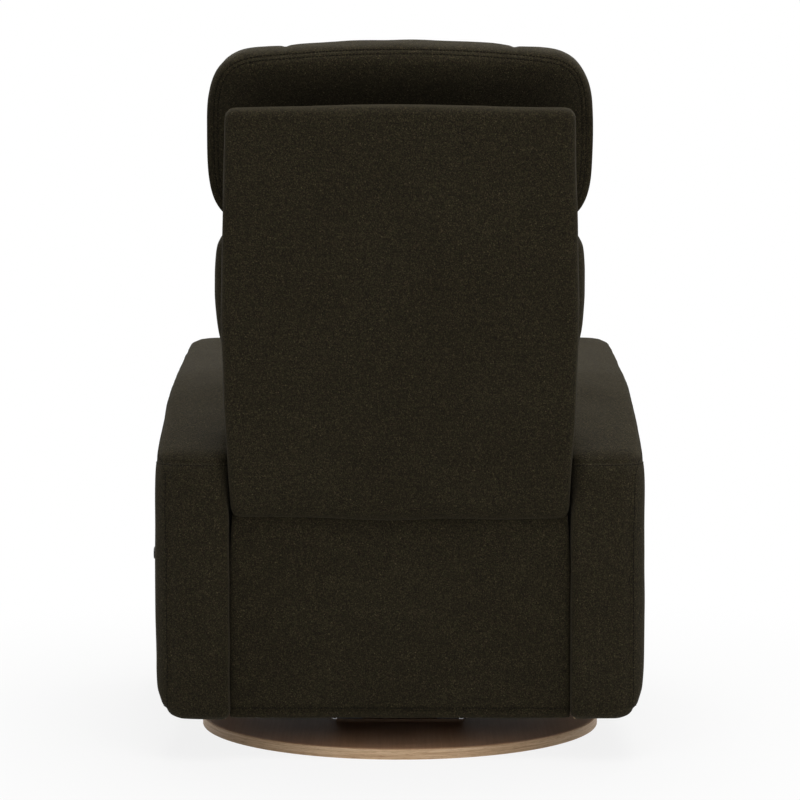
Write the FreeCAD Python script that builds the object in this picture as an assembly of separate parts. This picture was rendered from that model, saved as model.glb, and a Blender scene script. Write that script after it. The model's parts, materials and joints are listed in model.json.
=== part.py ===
import FreeCAD, Part
import math
import os
from FreeCAD import Vector

# Swivel rocker recliner: a round base, a swivel, a sprung rocker, a lever footrest,
# a reclining back and a headrest that tilts. All sizes are in millimetres.
# The origin is on the floor on the swivel axis. X points to the sitter's left,
# Y to the rear and Z up. Places in a side view are written (y, z).

# Fits
RUN = 0.05                  # radial clearance of a pin or shaft in its hole
SOFT_GAP = 0.3              # air between a soft piece and its neighbour
PLATE_AIR = 3.0             # air between neighbouring linkage plates
HEAD_AIR = 0.3              # air between a pivot head and the plate it holds
SWING_AIR = 8.0             # air that a swinging piece keeps from a fixed one

# Round base and swivel
BASE_RADIUS = 315.0
BASE_CORE = 15.0
LAMINATE = 1.0
LAMINATE_MARGIN = 2.0
SWIVEL_PLATE_SIDE = 200.0
SWIVEL_PLATE = 4.0
SLIP_RING_RADIUS = 90.0
SLIP_RING_WIDTH = 35.0
SLIP_RING = 4.0
KING_BOLT_RADIUS = 12.0
KING_HEAD_RADIUS = 20.0
KING_HEAD = 9.0
BASE_SCREW_RADIUS = 3.0
BASE_SCREW_BITE = 10.0
BASE_SCREW_HEAD = 3.0
BASE_SCREW_MARGIN = 14.0

# Rocker
ROCK_LIMIT = 6.0            # degrees each way
ROCK_AXIS_RISE = 47.0       # rocking axis above the turning plate
ROCK_SHAFT_RADIUS = 8.0
EAR_X = 95.0
EAR = 6.0
EAR_RADIUS = 18.0
BEAM_X = 80.0
BEAM_WIDTH = 44.0
BEAM_HEIGHT = 12.0
BEAM_REACH = 140.0
BUSH_WALL = 3.0
BUSH_FLANGE = 2.5
BUSH_FLANGE_RADIUS = 15.0
CRADLE_RAIL = 16.0
CRADLE_RAIL_HEIGHT = 34.0
TUBE_DEPTH = 40.0
TUBE_HEIGHT = 30.0
TUBE_WALL = 2.5
TUBE_FRONT_Y = -95.0
TUBE_REAR_Y = 105.0
TUBE_MARGIN = 30.0          # side plate beyond the tube's middle
COIL_RADIUS = 17.0
COIL_WIRE = 2.5
COIL_TURNS = 4
STOP_RADIUS = 9.0

# Side plates and footrest linkage
SIDE_PLATE_X = 212.0
PLATE = 4.0
DRIVE = (-150.0, 250.0)     # drive shaft and front link
DRIVE_SHAFT_RADIUS = 8.0
LINK_LENGTH = 170.0
LINK_REST = 275.0           # degrees from the rear, the link hangs almost straight down
LINK_SPACING = 60.0
LINK_RADIUS = 14.0
CARRIER_RADIUS = 13.0
TIE_RADIUS = 10.0
FLIP_ARM = 50.0
FOOT_PIVOT = (-380.0, 262.0)
STUD_RADIUS = 6.0
STUD_HEAD_RADIUS = 9.0
STUD_HEAD = 2.0
PIN_HEAD = 3.0
PLATE_EDGE = 25.0           # plate left round a pivot
PLATE_CORNER = 10.0

# Footrest
FOOT_BOARD = 16.0
FOOT_BOARD_GAP = 16.0       # from the flip pivot forward to the board
FOOT_PAD = 28.0
FOOT_BELOW = 170.0          # pad below the flip pivot
FOOT_ABOVE = 72.0
FOOT_PAD_MARGIN = 9.0       # pad beyond the board
FOOT_FLANGE = 24.0
FOOT_PAD_CROWN = 6.0
FOOT_PAD_BOW = 500.0        # radius of the crown
FOOT_PAD_ROUND = 9.0

# Release lever
LEVER_LENGTH = 165.0
LEVER_HEIGHT = 19.0
LEVER = 14.0
LEVER_STAND = 32.0          # finger room between the arm and the lever
LEVER_HUB_RADIUS = 15.0
COLLAR_RADIUS = 22.0
COLLAR = 4.0

# Arms
ARM_GAP = 502.0             # clear width between the arms
ARM_WIDTH = 110.0
ARM_BOTTOM = 63.0
ARM_REAR = 350.0
ARM_FRONT = -416.0
ARM_REAR_TOP = 449.0
ARM_KNEE = (27.0, 552.0)
ARM_FRONT_TOP = 602.0
ARM_KNEE_RADIUS = 900.0
ARM_NOSE_RADIUS = 40.0
ARM_REAR_RADIUS = 55.0
ARM_HEEL_RADIUS = 18.0
ARM_TOE_RADIUS = 30.0
ARM_INNER_ROUND = 7.0
ARM_OUTER_ROUND = 36.0      # width over which the outer face rounds into rear and front
ARM_EDGE_FALL = 12.0        # how far the top falls over that width
ARM_TUCK = 65.0             # how far the foot rises over it
ARM_SKIN = 6.0              # padding over the inner face of the arm's core
ARM_CORE = 18.0
ARM_CORE_MARGIN = 25.0
BOLT_RADIUS = 4.0
BOLT_HEAD = 5.0
BOLT_HEAD_RADIUS = 7.0
BOLT_FRONT_Y = -360.0
BOLT_REAR_Y = 90.0

# Seat
SEAT_RAIL_TOP = 345.0
SEAT_RAIL_HEIGHT = 45.0
SEAT_RAIL_FRONT = -385.0
SEAT_RAIL_REAR = 180.0
CROSS_RAIL_HEIGHT = 37.0
CROSS_RAIL = 28.0
FRONT_RAIL_Y = -345.0
WEB_WIDTH = 50.0
WEB = 2.0
WEB_COUNT = 5
WEB_PITCH = 85.0
SEAT_SIDE_AIR = 3.5
SEAT_FRONT = -415.0
SEAT_REAR = 182.0
SEAT_REAR_TOP = 448.0
SEAT_CREST = (-120.0, 472.0)
SEAT_FRONT_TOP = 462.0
SEAT_CROWN = 7.0
SEAT_ROUND = 24.0
SEAT_NOSE = 42.0
SEAT_LIP = 40.0             # round under the front, clear of the opening footrest
SEAT_BOW = 700.0            # radius of the crest in the side view
CROWN_SHARES = (0.7, 0.45, 0.2)     # half widths at which a crown has a section

# Lower back between the arms
LOWER_PANEL_REAR = 326.0
LOWER_PANEL = 25.0
LOWER_RAIL = 24.0
LOWER_RAIL_HEIGHT = 55.0
LOWER_RAIL_RISE = 9.0
FLAP = 3.0
FLAP_INSET = 2.0

# Reclining back
RECLINE = (250.0, 345.0)
RECLINE_LIMIT = 38.0
RECLINE_PIN_RADIUS = 8.0
RECLINE_HEAD_RADIUS = 13.0
RECLINE_HUB_RADIUS = 17.0
RECLINE_AIR = 1.0
BACK_FOOT = (345.0, 358.0)  # lower rear edge of the outside back
BACK_LEAN = 8.0
BACK_HEIGHT = 608.0
BACK_FOOT_HALF = 244.0
BACK_WAIST_HALF = 258.0
BACK_WAIST_RISE = 250.0
BACK_TOP_HALF = 246.0
BACK_TOP_CROWN = 6.0
BACK_CORNER = 14.0
BACK_BOW = 2500.0           # radius of the bowed sides and top
BACK_SHELL = 32.0
BACK_SHELL_ROUND = 12.0
BACK_BOARD = 18.0
BACK_BOARD_FOOT = 20.0
BACK_BOARD_TOP = 590.0
BRACKET_TOP = 185.0
BRACKET_CORNER = 3.0
BRACKET_BEND = 6.0
BACK_PAD = 115.0
BACK_PAD_FOOT = 34.0
BACK_PAD_TOP = 421.0
BACK_PAD_HALF = 272.0
BACK_PAD_WAIST = 246.0
BACK_PAD_NECK = 120.0       # height up to which the waist stays between the arms
BACK_PAD_BULGE = 325.0      # height of the widest place
BACK_PAD_TAPER = 1.2
BACK_PAD_ROUND = 22.0
BACK_PAD_EDGE = 30.0
SWELL_SHARES = (0.0, 0.25, 0.5, 0.75, 1.0, 1.2, 1.34)

# Headrest
HEAD_HALF = 281.0
HEAD_THICK = 128.0
HEAD_REAR_AIR = 5.0
HEAD_PAD_AIR = 8.0
HEAD_HEIGHT = 261.5
HEAD_CHANNEL_X = 166.0
HEAD_CHANNEL = 4.0          # depth that the two channels draw in
HEAD_CHANNEL_WIDTH = 12.0
HEAD_ROUND = 26.0
HEAD_SHOULDER = 62.0        # width over which the top corners round down
HEAD_CORNER = 62.0          # height over which they round down
HEAD_HEEL = 38.0            # width over which the bottom corners round up
HEAD_HEEL_RISE = 72.0       # height over which they round up
HEAD_CROWN = 19.0
HEAD_TAPER = 16.0
HEAD_TOP_ROUND = 28.0
HEAD_FOOT_SHARE = 0.8       # the foot's round as a share of the half thickness
SHOULDER_SHARES = (0.5, 0.65, 0.8, 1.0)
HEAD_BOARD = 12.0
HEAD_BOARD_HALF = 200.0
HEAD_BOARD_RISE = 28.0      # board's foot above the tilt pivot
HEAD_BOARD_HEIGHT = 118.0
HEAD_BRACKET_X = 107.0
HEAD_HUB_RADIUS = 14.0
HEAD_BRACKET_FLANGE = 22.0
HEAD_BRACKET_HEIGHT = 65.0
HEAD_POCKET_AIR = 3.0

# Sections that round over the ends of a soft piece, in degrees of the round
ROUND_STEPS = (90.0, 68.0, 45.0, 22.0, 0.0)

# Heights that follow from the stack on the base
LAMINATE_TOP = BASE_CORE + LAMINATE
LOWER_PLATE_TOP = LAMINATE_TOP + SWIVEL_PLATE
SLIP_RING_TOP = LOWER_PLATE_TOP + SLIP_RING
TURN_TOP = SLIP_RING_TOP + SWIVEL_PLATE
BEAM_TOP = TURN_TOP + BEAM_HEIGHT
ROCK_Z = TURN_TOP + ROCK_AXIS_RISE
CRADLE_TOP = ROCK_Z + CRADLE_RAIL_HEIGHT / 2
ROCK_AXIS = (0.0, ROCK_Z)
RAIL_X = EAR_X + EAR / 2 + BUSH_FLANGE + 2 * HEAD_AIR

# Side planes that follow from the side plate
PLATE_OUTER = SIDE_PLATE_X + PLATE
LINK_X = SIDE_PLATE_X - PLATE_AIR - PLATE
CARRIER_X = LINK_X - PLATE_AIR - PLATE
FOOT_X = CARRIER_X - PLATE_AIR - PLATE
ARM_INNER = ARM_GAP / 2
ARM_OUTER = ARM_INNER + ARM_WIDTH
CORE_X = ARM_INNER + ARM_SKIN
SEAT_HALF = ARM_INNER - SEAT_SIDE_AIR
RAIL_OUTER = ARM_INNER - SOFT_GAP
BRACKET_X = PLATE_OUTER + RECLINE_AIR
BACK_BOARD_HALF = BRACKET_X - SOFT_GAP
WEB_TOP = SEAT_RAIL_TOP + WEB


def turned(point, angle, length):
    """A point at an angle, in degrees from the rear, and a length from another point."""
    reach = math.radians(angle)
    return (point[0] + length * math.cos(reach), point[1] + length * math.sin(reach))


def shifted(point, from_point, to_point):
    """A point moved by the step between two other points."""
    return (point[0] + to_point[0] - from_point[0], point[1] + to_point[1] - from_point[1])


# The footrest linkage is two parallelograms on a carrier that never tips.
# Link foot, its flip point, and the rear link all follow from the drive shaft.
LINK_FOOT = turned(DRIVE, LINK_REST, LINK_LENGTH)
FLIP_ON_LINK = turned(LINK_FOOT, LINK_REST - 180, FLIP_ARM)
FLIP_ON_FOOT = shifted(FOOT_PIVOT, LINK_FOOT, FLIP_ON_LINK)
CARRIER_ANGLE = math.degrees(math.atan2(FOOT_PIVOT[1] - LINK_FOOT[1],
                                        FOOT_PIVOT[0] - LINK_FOOT[0]))
REAR_PIVOT = turned(DRIVE, CARRIER_ANGLE, LINK_SPACING)
REAR_FOOT = turned(LINK_FOOT, CARRIER_ANGLE, LINK_SPACING)
FOOT_BOARD_REAR = FOOT_PIVOT[0] - FOOT_BOARD_GAP
FOOT_BOARD_FRONT = FOOT_BOARD_REAR - FOOT_BOARD
FOOT_LOW = FOOT_PIVOT[1] - FOOT_BELOW
FOOT_HIGH = FOOT_PIVOT[1] + FOOT_ABOVE

# The back's own side view: n to the rear from its outside face, s up from its foot.
BOARD_N = -BACK_SHELL - BACK_BOARD
BACK_PAD_REAR = BOARD_N - SOFT_GAP
HEAD_REAR = BOARD_N - HEAD_REAR_AIR
HEAD_PIVOT = (HEAD_REAR - HEAD_THICK / 2, BACK_PAD_TOP + HEAD_PAD_AIR + HEAD_THICK / 2)
HEAD_FOOT = HEAD_PIVOT[1] - HEAD_THICK / 2
HEAD_BOARD_FOOT = HEAD_PIVOT[1] + HEAD_BOARD_RISE


def box(x_range, y_range, z_range):
    """A block between two limits on each axis."""
    size = [limits[1] - limits[0] for limits in (x_range, y_range, z_range)]
    return Part.makeBox(size[0], size[1], size[2], Vector(x_range[0], y_range[0], z_range[0]))


def rod_x(x_range, centre, radius):
    """A round bar across the chair."""
    corner = Vector(x_range[0], centre[0], centre[1])
    return Part.makeCylinder(radius, x_range[1] - x_range[0], corner, Vector(1, 0, 0))


def rod_z(place, z_range, radius):
    """An upright round bar."""
    corner = Vector(place[0], place[1], z_range[0])
    return Part.makeCylinder(radius, z_range[1] - z_range[0], corner)


def side_view(x):
    """Turns a place in a side view into a point at one x."""
    return lambda place: Vector(x, place[0], place[1])


def level_view(z):
    """Turns a place seen from above into a point at one height."""
    return lambda place: Vector(place[0], place[1], z)


def rear_view(n):
    """Turns a place seen from behind into a point at one depth."""
    return lambda place: Vector(place[0], n, place[1])


def corner_cuts(corners, index):
    """Start, middle and end of the arc that rounds one corner of an outline."""
    a, b, radius = corners[index]
    before = corners[index - 1]
    after = corners[(index + 1) % len(corners)]
    here = Vector(a, b, 0)
    back = (Vector(before[0], before[1], 0) - here).normalize()
    ahead = (Vector(after[0], after[1], 0) - here).normalize()
    half = back.getAngle(ahead) / 2
    inward = (back + ahead).normalize()
    reach = radius / math.tan(half)
    start = here + back * reach
    middle = here + inward * (radius / math.sin(half) - radius)
    end = here + ahead * reach
    return start, middle, end


def rounded_wire(corners, view):
    """A closed outline of lines and tangent arcs through (a, b, radius) corners."""
    cuts = [corner_cuts(corners, index) for index in range(len(corners))]
    edges = []
    for index, (start, middle, end) in enumerate(cuts):
        following = cuts[(index + 1) % len(cuts)][0]
        edges.append(Part.Arc(view(start), view(middle), view(end)).toShape())
        edges.append(Part.makeLine(view(end), view(following)))
    return Part.Wire(edges)


def inset(corners, depth, least=1.5):
    """A convex outline drawn in by one depth on all sides."""
    drawn = []
    for index, (a, b, radius) in enumerate(corners):
        before = corners[index - 1]
        after = corners[(index + 1) % len(corners)]
        here = Vector(a, b, 0)
        back = (Vector(before[0], before[1], 0) - here).normalize()
        ahead = (Vector(after[0], after[1], 0) - here).normalize()
        half = back.getAngle(ahead) / 2
        moved = here + (back + ahead).normalize() * (depth / math.sin(half))
        drawn.append((moved.x, moved.y, max(radius - depth, least)))
    return drawn


def loft(wires):
    """A closed solid through outlines with the same number of edges."""
    return Part.makeLoft(wires, True, True)


def round_over(edge, radius, toward):
    """Sections (place, depth) that round an end over, from its face to its full outline."""
    steps = []
    for degrees in ROUND_STEPS:
        angle = math.radians(degrees)
        place = edge - toward * radius * (1 - math.sin(angle))
        steps.append((place, radius * (1 - math.cos(angle))))
    return steps


def flat_plate(corners, x_range):
    """A plate with a rounded side outline."""
    wire = rounded_wire(corners, side_view(x_range[0]))
    return Part.Face(wire).extrude(Vector(x_range[1] - x_range[0], 0, 0))


def link_bar(start, end, radius, x_range):
    """A flat link with round ends."""
    along = (Vector(end[0], end[1], 0) - Vector(start[0], start[1], 0)).normalize() * radius
    across = Vector(-along.y, along.x, 0)
    first = Vector(start[0], start[1], 0)
    last = Vector(end[0], end[1], 0)
    view = side_view(x_range[0])
    edges = [
        Part.Arc(view(first + across), view(first - along), view(first - across)).toShape(),
        Part.makeLine(view(first - across), view(last - across)),
        Part.Arc(view(last - across), view(last + along), view(last + across)).toShape(),
        Part.makeLine(view(last + across), view(first + across)),
    ]
    return Part.Face(Part.Wire(edges)).extrude(Vector(x_range[1] - x_range[0], 0, 0))


def drilled(shape, centres, radius, x_range):
    """A shape with running holes across the chair."""
    for centre in centres:
        shape = shape.cut(rod_x((x_range[0] - 1, x_range[1] + 1), centre, radius + RUN))
    return shape


def stud(centre, foot_x, plate_x, inward):
    """A shouldered pivot that stands on a plate's face and holds the next plate."""
    if inward:
        head = (plate_x - HEAD_AIR - STUD_HEAD, plate_x - HEAD_AIR)
        shank = (head[0], foot_x)
    else:
        far = plate_x + PLATE + HEAD_AIR
        head = (far, far + STUD_HEAD)
        shank = (foot_x, head[1])
    return rod_x(shank, centre, STUD_RADIUS).fuse(rod_x(head, centre, STUD_HEAD_RADIUS))


def mirrored(shape):
    """The same piece on the sitter's right."""
    return shape.mirror(Vector(0, 0, 0), Vector(1, 0, 0))


def leaned(shape):
    """Stands a piece of the back, made upright at the origin, on its foot at its lean."""
    placed = shape.copy()
    placed.rotate(Vector(0, 0, 0), Vector(1, 0, 0), -BACK_LEAN)
    placed.translate(Vector(0, BACK_FOOT[0], BACK_FOOT[1]))
    return placed


def in_back(point):
    """A side-view place of the chair in the back's own upright view."""
    lean = math.radians(BACK_LEAN)
    y = point[0] - BACK_FOOT[0]
    z = point[1] - BACK_FOOT[1]
    return (y * math.cos(lean) - z * math.sin(lean), y * math.sin(lean) + z * math.cos(lean))


def pair(nodes, name, shape):
    """Adds a piece on the left and its mirror image on the right."""
    nodes[name + "_left"] = shape
    nodes[name + "_right"] = mirrored(shape)


def both_sides(shapes):
    """A group of like pieces and their mirror images."""
    return Part.makeCompound(shapes + [mirrored(shape) for shape in shapes])


def round_base():
    """Edged disc with its dark top, and the lower half of the swivel."""
    half = SWIVEL_PLATE_SIDE / 2
    spot = half - BASE_SCREW_MARGIN
    spots = [(spot, spot), (-spot, spot), (-spot, -spot), (spot, -spot)]
    screw_foot = LAMINATE_TOP - BASE_SCREW_BITE
    core = rod_z((0, 0), (0, BASE_CORE), BASE_RADIUS)
    laminate = rod_z((0, 0), (BASE_CORE, LAMINATE_TOP), BASE_RADIUS - LAMINATE_MARGIN)
    lower = box((-half, half), (-half, half), (LAMINATE_TOP, LOWER_PLATE_TOP))
    lower = lower.cut(rod_z((0, 0), (LAMINATE_TOP, LOWER_PLATE_TOP), KING_BOLT_RADIUS + RUN))
    screws = []
    for place in spots:
        hole = rod_z(place, (screw_foot - SOFT_GAP, LOWER_PLATE_TOP), BASE_SCREW_RADIUS + RUN)
        core = core.cut(hole)
        laminate = laminate.cut(hole)
        lower = lower.cut(hole)
        shank = rod_z(place, (screw_foot, LOWER_PLATE_TOP), BASE_SCREW_RADIUS)
        head_top = LOWER_PLATE_TOP + BASE_SCREW_HEAD
        head = rod_z(place, (LOWER_PLATE_TOP, head_top), 2 * BASE_SCREW_RADIUS)
        screws.append(shank.fuse(head))
    ring = rod_z((0, 0), (LOWER_PLATE_TOP, SLIP_RING_TOP), SLIP_RING_RADIUS)
    hollow = rod_z((0, 0), (LOWER_PLATE_TOP, SLIP_RING_TOP), SLIP_RING_RADIUS - SLIP_RING_WIDTH)
    head_foot = TURN_TOP + HEAD_AIR
    bolt = rod_z((0, 0), (LAMINATE_TOP, head_foot + KING_HEAD), KING_BOLT_RADIUS)
    bolt = bolt.fuse(rod_z((0, 0), (head_foot, head_foot + KING_HEAD), KING_HEAD_RADIUS))
    return {
        "base_core": core,
        "base_top_laminate": laminate,
        "swivel_lower_plate": lower,
        "swivel_slip_ring": ring.cut(hollow),
        "king_bolt": bolt,
        "base_screws": Part.makeCompound(screws),
    }


def turning_stand():
    """Turning plate and the two stands that carry the rocking shaft."""
    half = SWIVEL_PLATE_SIDE / 2
    plate = box((-half, half), (-half, half), (SLIP_RING_TOP, TURN_TOP))
    plate = plate.cut(rod_z((0, 0), (SLIP_RING_TOP, TURN_TOP), KING_BOLT_RADIUS + RUN))
    beam_x = (BEAM_X - BEAM_WIDTH / 2, BEAM_X + BEAM_WIDTH / 2)
    ear_x = (EAR_X - EAR / 2, EAR_X + EAR / 2)
    beam = box(beam_x, (-BEAM_REACH, BEAM_REACH), (TURN_TOP, BEAM_TOP))
    ear = link_bar((0, TURN_TOP + EAR_RADIUS), ROCK_AXIS, EAR_RADIUS, ear_x)
    stand = drilled(beam.fuse(ear), [ROCK_AXIS], ROCK_SHAFT_RADIUS, ear_x)
    reach = RAIL_X + CRADLE_RAIL + PIN_HEAD
    nodes = {
        "swivel_upper_plate": plate,
        "rock_shaft": rod_x((-reach, reach), ROCK_AXIS, ROCK_SHAFT_RADIUS),
    }
    pair(nodes, "rocker_stand", stand.removeSplitter())
    return nodes


def coil_points(place, foot, top, per_turn):
    """Places along one spring's wire, evenly spaced in angle."""
    count = COIL_TURNS * per_turn
    low = foot + COIL_WIRE + SOFT_GAP
    rise = top - foot - 2 * (COIL_WIRE + SOFT_GAP)
    points = []
    for step in range(count + 1):
        angle = 2 * math.pi * step / per_turn
        x = place[0] + COIL_RADIUS * math.cos(angle)
        y = place[1] + COIL_RADIUS * math.sin(angle)
        points.append(Vector(x, y, low + rise * step / count))
    return points


def coil_spring(place, foot, top):
    """One rocker spring: a wire wound in quarter-turn arcs."""
    points = coil_points(place, foot, top, 8)
    arcs = [Part.Arc(points[i], points[i + 1], points[i + 2]).toShape()
            for i in range(0, len(points) - 2, 2)]
    heading = arcs[0].tangentAt(arcs[0].FirstParameter)
    ring = Part.Wire(Part.makeCircle(COIL_WIRE, points[0], heading))
    return Part.Wire(arcs).makePipeShell([ring], True, False)


def coil_self_gap(foot, top):
    """Least air between one turn of a spring and the next."""
    points = coil_points((0, 0), foot, top, 32)
    nearest = min(points[0].distanceToPoint(other) for other in points[24:])
    return nearest - 2 * COIL_WIRE


def rocker():
    """Cradle that rocks on the shaft, its springs and its rubber stops."""
    rail_x = (RAIL_X, RAIL_X + CRADLE_RAIL)
    rail_y = (TUBE_FRONT_Y - TUBE_DEPTH / 2, TUBE_REAR_Y + TUBE_DEPTH / 2)
    bush_radius = ROCK_SHAFT_RADIUS + BUSH_WALL
    rail = box(rail_x, rail_y, (CRADLE_TOP - CRADLE_RAIL_HEIGHT, CRADLE_TOP))
    rail = drilled(rail, [ROCK_AXIS], bush_radius, rail_x)
    flange_x = (RAIL_X - BUSH_FLANGE, RAIL_X)
    bush = rod_x(rail_x, ROCK_AXIS, bush_radius)
    bush = bush.fuse(rod_x(flange_x, ROCK_AXIS, BUSH_FLANGE_RADIUS))
    bush = drilled(bush, [ROCK_AXIS], ROCK_SHAFT_RADIUS, (flange_x[0], rail_x[1]))
    nodes = {}
    pair(nodes, "cradle_rail", rail)
    nodes["rock_bushes"] = both_sides([bush])
    swing = math.sin(math.radians(ROCK_LIMIT))
    stops = []
    for name, middle in (("front", TUBE_FRONT_Y), ("rear", TUBE_REAR_Y)):
        nodes["cross_tube_" + name] = cross_tube(middle)
        springs = [coil_spring((BEAM_X, middle), BEAM_TOP, CRADLE_TOP)]
        nodes["rock_springs_" + name] = both_sides(springs)
        drop = (abs(middle) + STOP_RADIUS) * swing
        stop_foot = BEAM_TOP + drop + 2 * HEAD_AIR
        stops.append(rod_z((BEAM_X, middle), (stop_foot, CRADLE_TOP), STOP_RADIUS))
    nodes["rock_stops"] = both_sides(stops)
    return nodes


def cross_tube(middle):
    """Rectangular tube that carries both side plates on the cradle."""
    y_range = (middle - TUBE_DEPTH / 2, middle + TUBE_DEPTH / 2)
    z_range = (CRADLE_TOP, CRADLE_TOP + TUBE_HEIGHT)
    x_range = (-SIDE_PLATE_X, SIDE_PLATE_X)
    outside = box(x_range, y_range, z_range)
    inner_y = (y_range[0] + TUBE_WALL, y_range[1] - TUBE_WALL)
    inner_z = (z_range[0] + TUBE_WALL, z_range[1] - TUBE_WALL)
    return outside.cut(box(x_range, inner_y, inner_z))


def side_plates():
    """Steel plates that hold the linkage and the recline pivots, and their pins."""
    plate_x = (SIDE_PLATE_X, PLATE_OUTER)
    low = CRADLE_TOP - PLATE_CORNER / 2
    high = SEAT_RAIL_TOP - PLATE
    tail = TUBE_REAR_Y + TUBE_MARGIN
    outline = [
        (TUBE_FRONT_Y - TUBE_MARGIN, low),
        (tail, low),
        (tail, (low + RECLINE[1]) / 2),
        (RECLINE[0] + PLATE_EDGE, RECLINE[1] - PLATE_EDGE),
        (RECLINE[0] + PLATE_EDGE, RECLINE[1] + PLATE_EDGE),
        (RECLINE[0] - PLATE_EDGE, RECLINE[1] + PLATE_EDGE),
        (SEAT_RAIL_REAR, high),
        (REAR_PIVOT[0] - PLATE_EDGE, high),
        (REAR_PIVOT[0] - PLATE_EDGE, REAR_PIVOT[1] - PLATE_EDGE),
        (DRIVE[0] - PLATE_EDGE, DRIVE[1] - PLATE_EDGE),
    ]
    corners = [(y, z, PLATE_CORNER) for y, z in outline]
    plate = flat_plate(corners, plate_x)
    plate = drilled(plate, [DRIVE], DRIVE_SHAFT_RADIUS, plate_x)
    plate = drilled(plate, [REAR_PIVOT], STUD_RADIUS, plate_x)
    plate = drilled(plate, [RECLINE], RECLINE_PIN_RADIUS, plate_x)
    for bolt in bolt_places():
        plate = drilled(plate, [bolt], BOLT_RADIUS, plate_x)
    link_head = LINK_X - HEAD_AIR
    rear_pin = rod_x((link_head - STUD_HEAD, PLATE_OUTER), REAR_PIVOT, STUD_RADIUS)
    rear_pin = rear_pin.fuse(rod_x((link_head - STUD_HEAD, link_head), REAR_PIVOT, STUD_HEAD_RADIUS))
    rear_pin = rear_pin.fuse(rod_x((PLATE_OUTER, PLATE_OUTER + PIN_HEAD), REAR_PIVOT, STUD_HEAD_RADIUS))
    far = BRACKET_X + PLATE + HEAD_AIR
    back_pin = rod_x((SIDE_PLATE_X - PIN_HEAD, far + PIN_HEAD), RECLINE, RECLINE_PIN_RADIUS)
    for head_x in ((SIDE_PLATE_X - PIN_HEAD, SIDE_PLATE_X), (far, far + PIN_HEAD)):
        back_pin = back_pin.fuse(rod_x(head_x, RECLINE, RECLINE_HEAD_RADIUS))
    nodes = {"side_plate_pins": both_sides([rear_pin, back_pin])}
    pair(nodes, "side_plate", plate)
    return nodes


def bolt_places():
    """Side-view places of the bolts through seat rail and arm core."""
    height = SEAT_RAIL_TOP - SEAT_RAIL_HEIGHT / 2
    return [(BOLT_FRONT_Y, height), (BOLT_REAR_Y, height)]


def drive_and_links():
    """Lever, drive shaft and the links that swing the footrest out."""
    link_x = (LINK_X, LINK_X + PLATE)
    carrier_x = (CARRIER_X, CARRIER_X + PLATE)
    front = link_bar(DRIVE, LINK_FOOT, LINK_RADIUS, link_x)
    front = drilled(front, [DRIVE], DRIVE_SHAFT_RADIUS, link_x)
    for place in (LINK_FOOT, FLIP_ON_LINK):
        front = front.fuse(stud(place, LINK_X, CARRIER_X, True))
    rear = link_bar(REAR_PIVOT, REAR_FOOT, LINK_RADIUS, link_x)
    rear = drilled(rear, [REAR_PIVOT], STUD_RADIUS, link_x)
    rear = rear.fuse(stud(REAR_FOOT, LINK_X, CARRIER_X, True))
    carrier = link_bar(LINK_FOOT, FOOT_PIVOT, CARRIER_RADIUS, carrier_x)
    carrier = drilled(carrier, [LINK_FOOT, REAR_FOOT, FOOT_PIVOT], STUD_RADIUS, carrier_x)
    tie = link_bar(FLIP_ON_LINK, FLIP_ON_FOOT, TIE_RADIUS, carrier_x)
    tie = drilled(tie, [FLIP_ON_LINK, FLIP_ON_FOOT], STUD_RADIUS, carrier_x)
    lever_x = (ARM_OUTER + LEVER_STAND, ARM_OUTER + LEVER_STAND + LEVER)
    shaft = rod_x((-PLATE_OUTER - PIN_HEAD, lever_x[0]), DRIVE, DRIVE_SHAFT_RADIUS)
    nodes = {"drive_shaft": shaft, "release_lever": release_lever(lever_x)}
    pair(nodes, "front_link", front)
    pair(nodes, "rear_link", rear)
    pair(nodes, "carrier_bar", carrier)
    pair(nodes, "flip_tie", tie)
    return nodes


def release_lever(lever_x):
    """Flat handle that points forward from a hub on the drive shaft."""
    half = LEVER_HEIGHT / 2
    tip = (DRIVE[0] - LEVER_LENGTH, DRIVE[1])
    handle = link_bar(DRIVE, tip, half, lever_x)
    hub_x = (lever_x[0] - LEVER_STAND / 2, lever_x[0])
    hub = rod_x(hub_x, DRIVE, LEVER_HUB_RADIUS)
    hub = drilled(hub, [DRIVE], DRIVE_SHAFT_RADIUS, hub_x)
    cap = rod_x(lever_x, DRIVE, half)
    return handle.fuse(cap).fuse(hub.cut(handle))


def footrest():
    """Board, pad and the brackets that flip them on the carriers."""
    bracket_x = (FOOT_X, FOOT_X + PLATE)
    top = FLIP_ON_FOOT[1] + STUD_HEAD_RADIUS + PLATE
    low = FOOT_PIVOT[1] - PLATE_EDGE
    corners = [
        (FOOT_BOARD_REAR, low, PLATE),
        (FOOT_BOARD_REAR, top, PLATE),
        (FLIP_ON_FOOT[0] + STUD_HEAD_RADIUS, top, PLATE),
        (FOOT_PIVOT[0] + FOOT_BOARD_GAP, FOOT_PIVOT[1], PLATE),
        (FOOT_PIVOT[0] + FOOT_BOARD_GAP, low, PLATE),
    ]
    bracket = flat_plate(corners, bracket_x)
    flange_y = (FOOT_BOARD_REAR, FOOT_BOARD_REAR + PLATE)
    flange = box((FOOT_X - FOOT_FLANGE, FOOT_X), flange_y, (low + PLATE, top - PLATE))
    bracket = bracket.fuse(flange)
    for place in (FOOT_PIVOT, FLIP_ON_FOOT):
        bracket = bracket.fuse(stud(place, FOOT_X + PLATE, CARRIER_X, False))
    board_half = SEAT_HALF - FOOT_PAD_MARGIN
    board_z = (FOOT_LOW + FOOT_PAD_MARGIN, FOOT_HIGH - FOOT_PAD_MARGIN)
    board = box((-board_half, board_half), (FOOT_BOARD_FRONT, FOOT_BOARD_REAR), board_z)
    nodes = {"footrest_board": board, "footrest_pad": footrest_pad()}
    pair(nodes, "footrest_bracket", bracket)
    return nodes


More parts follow.
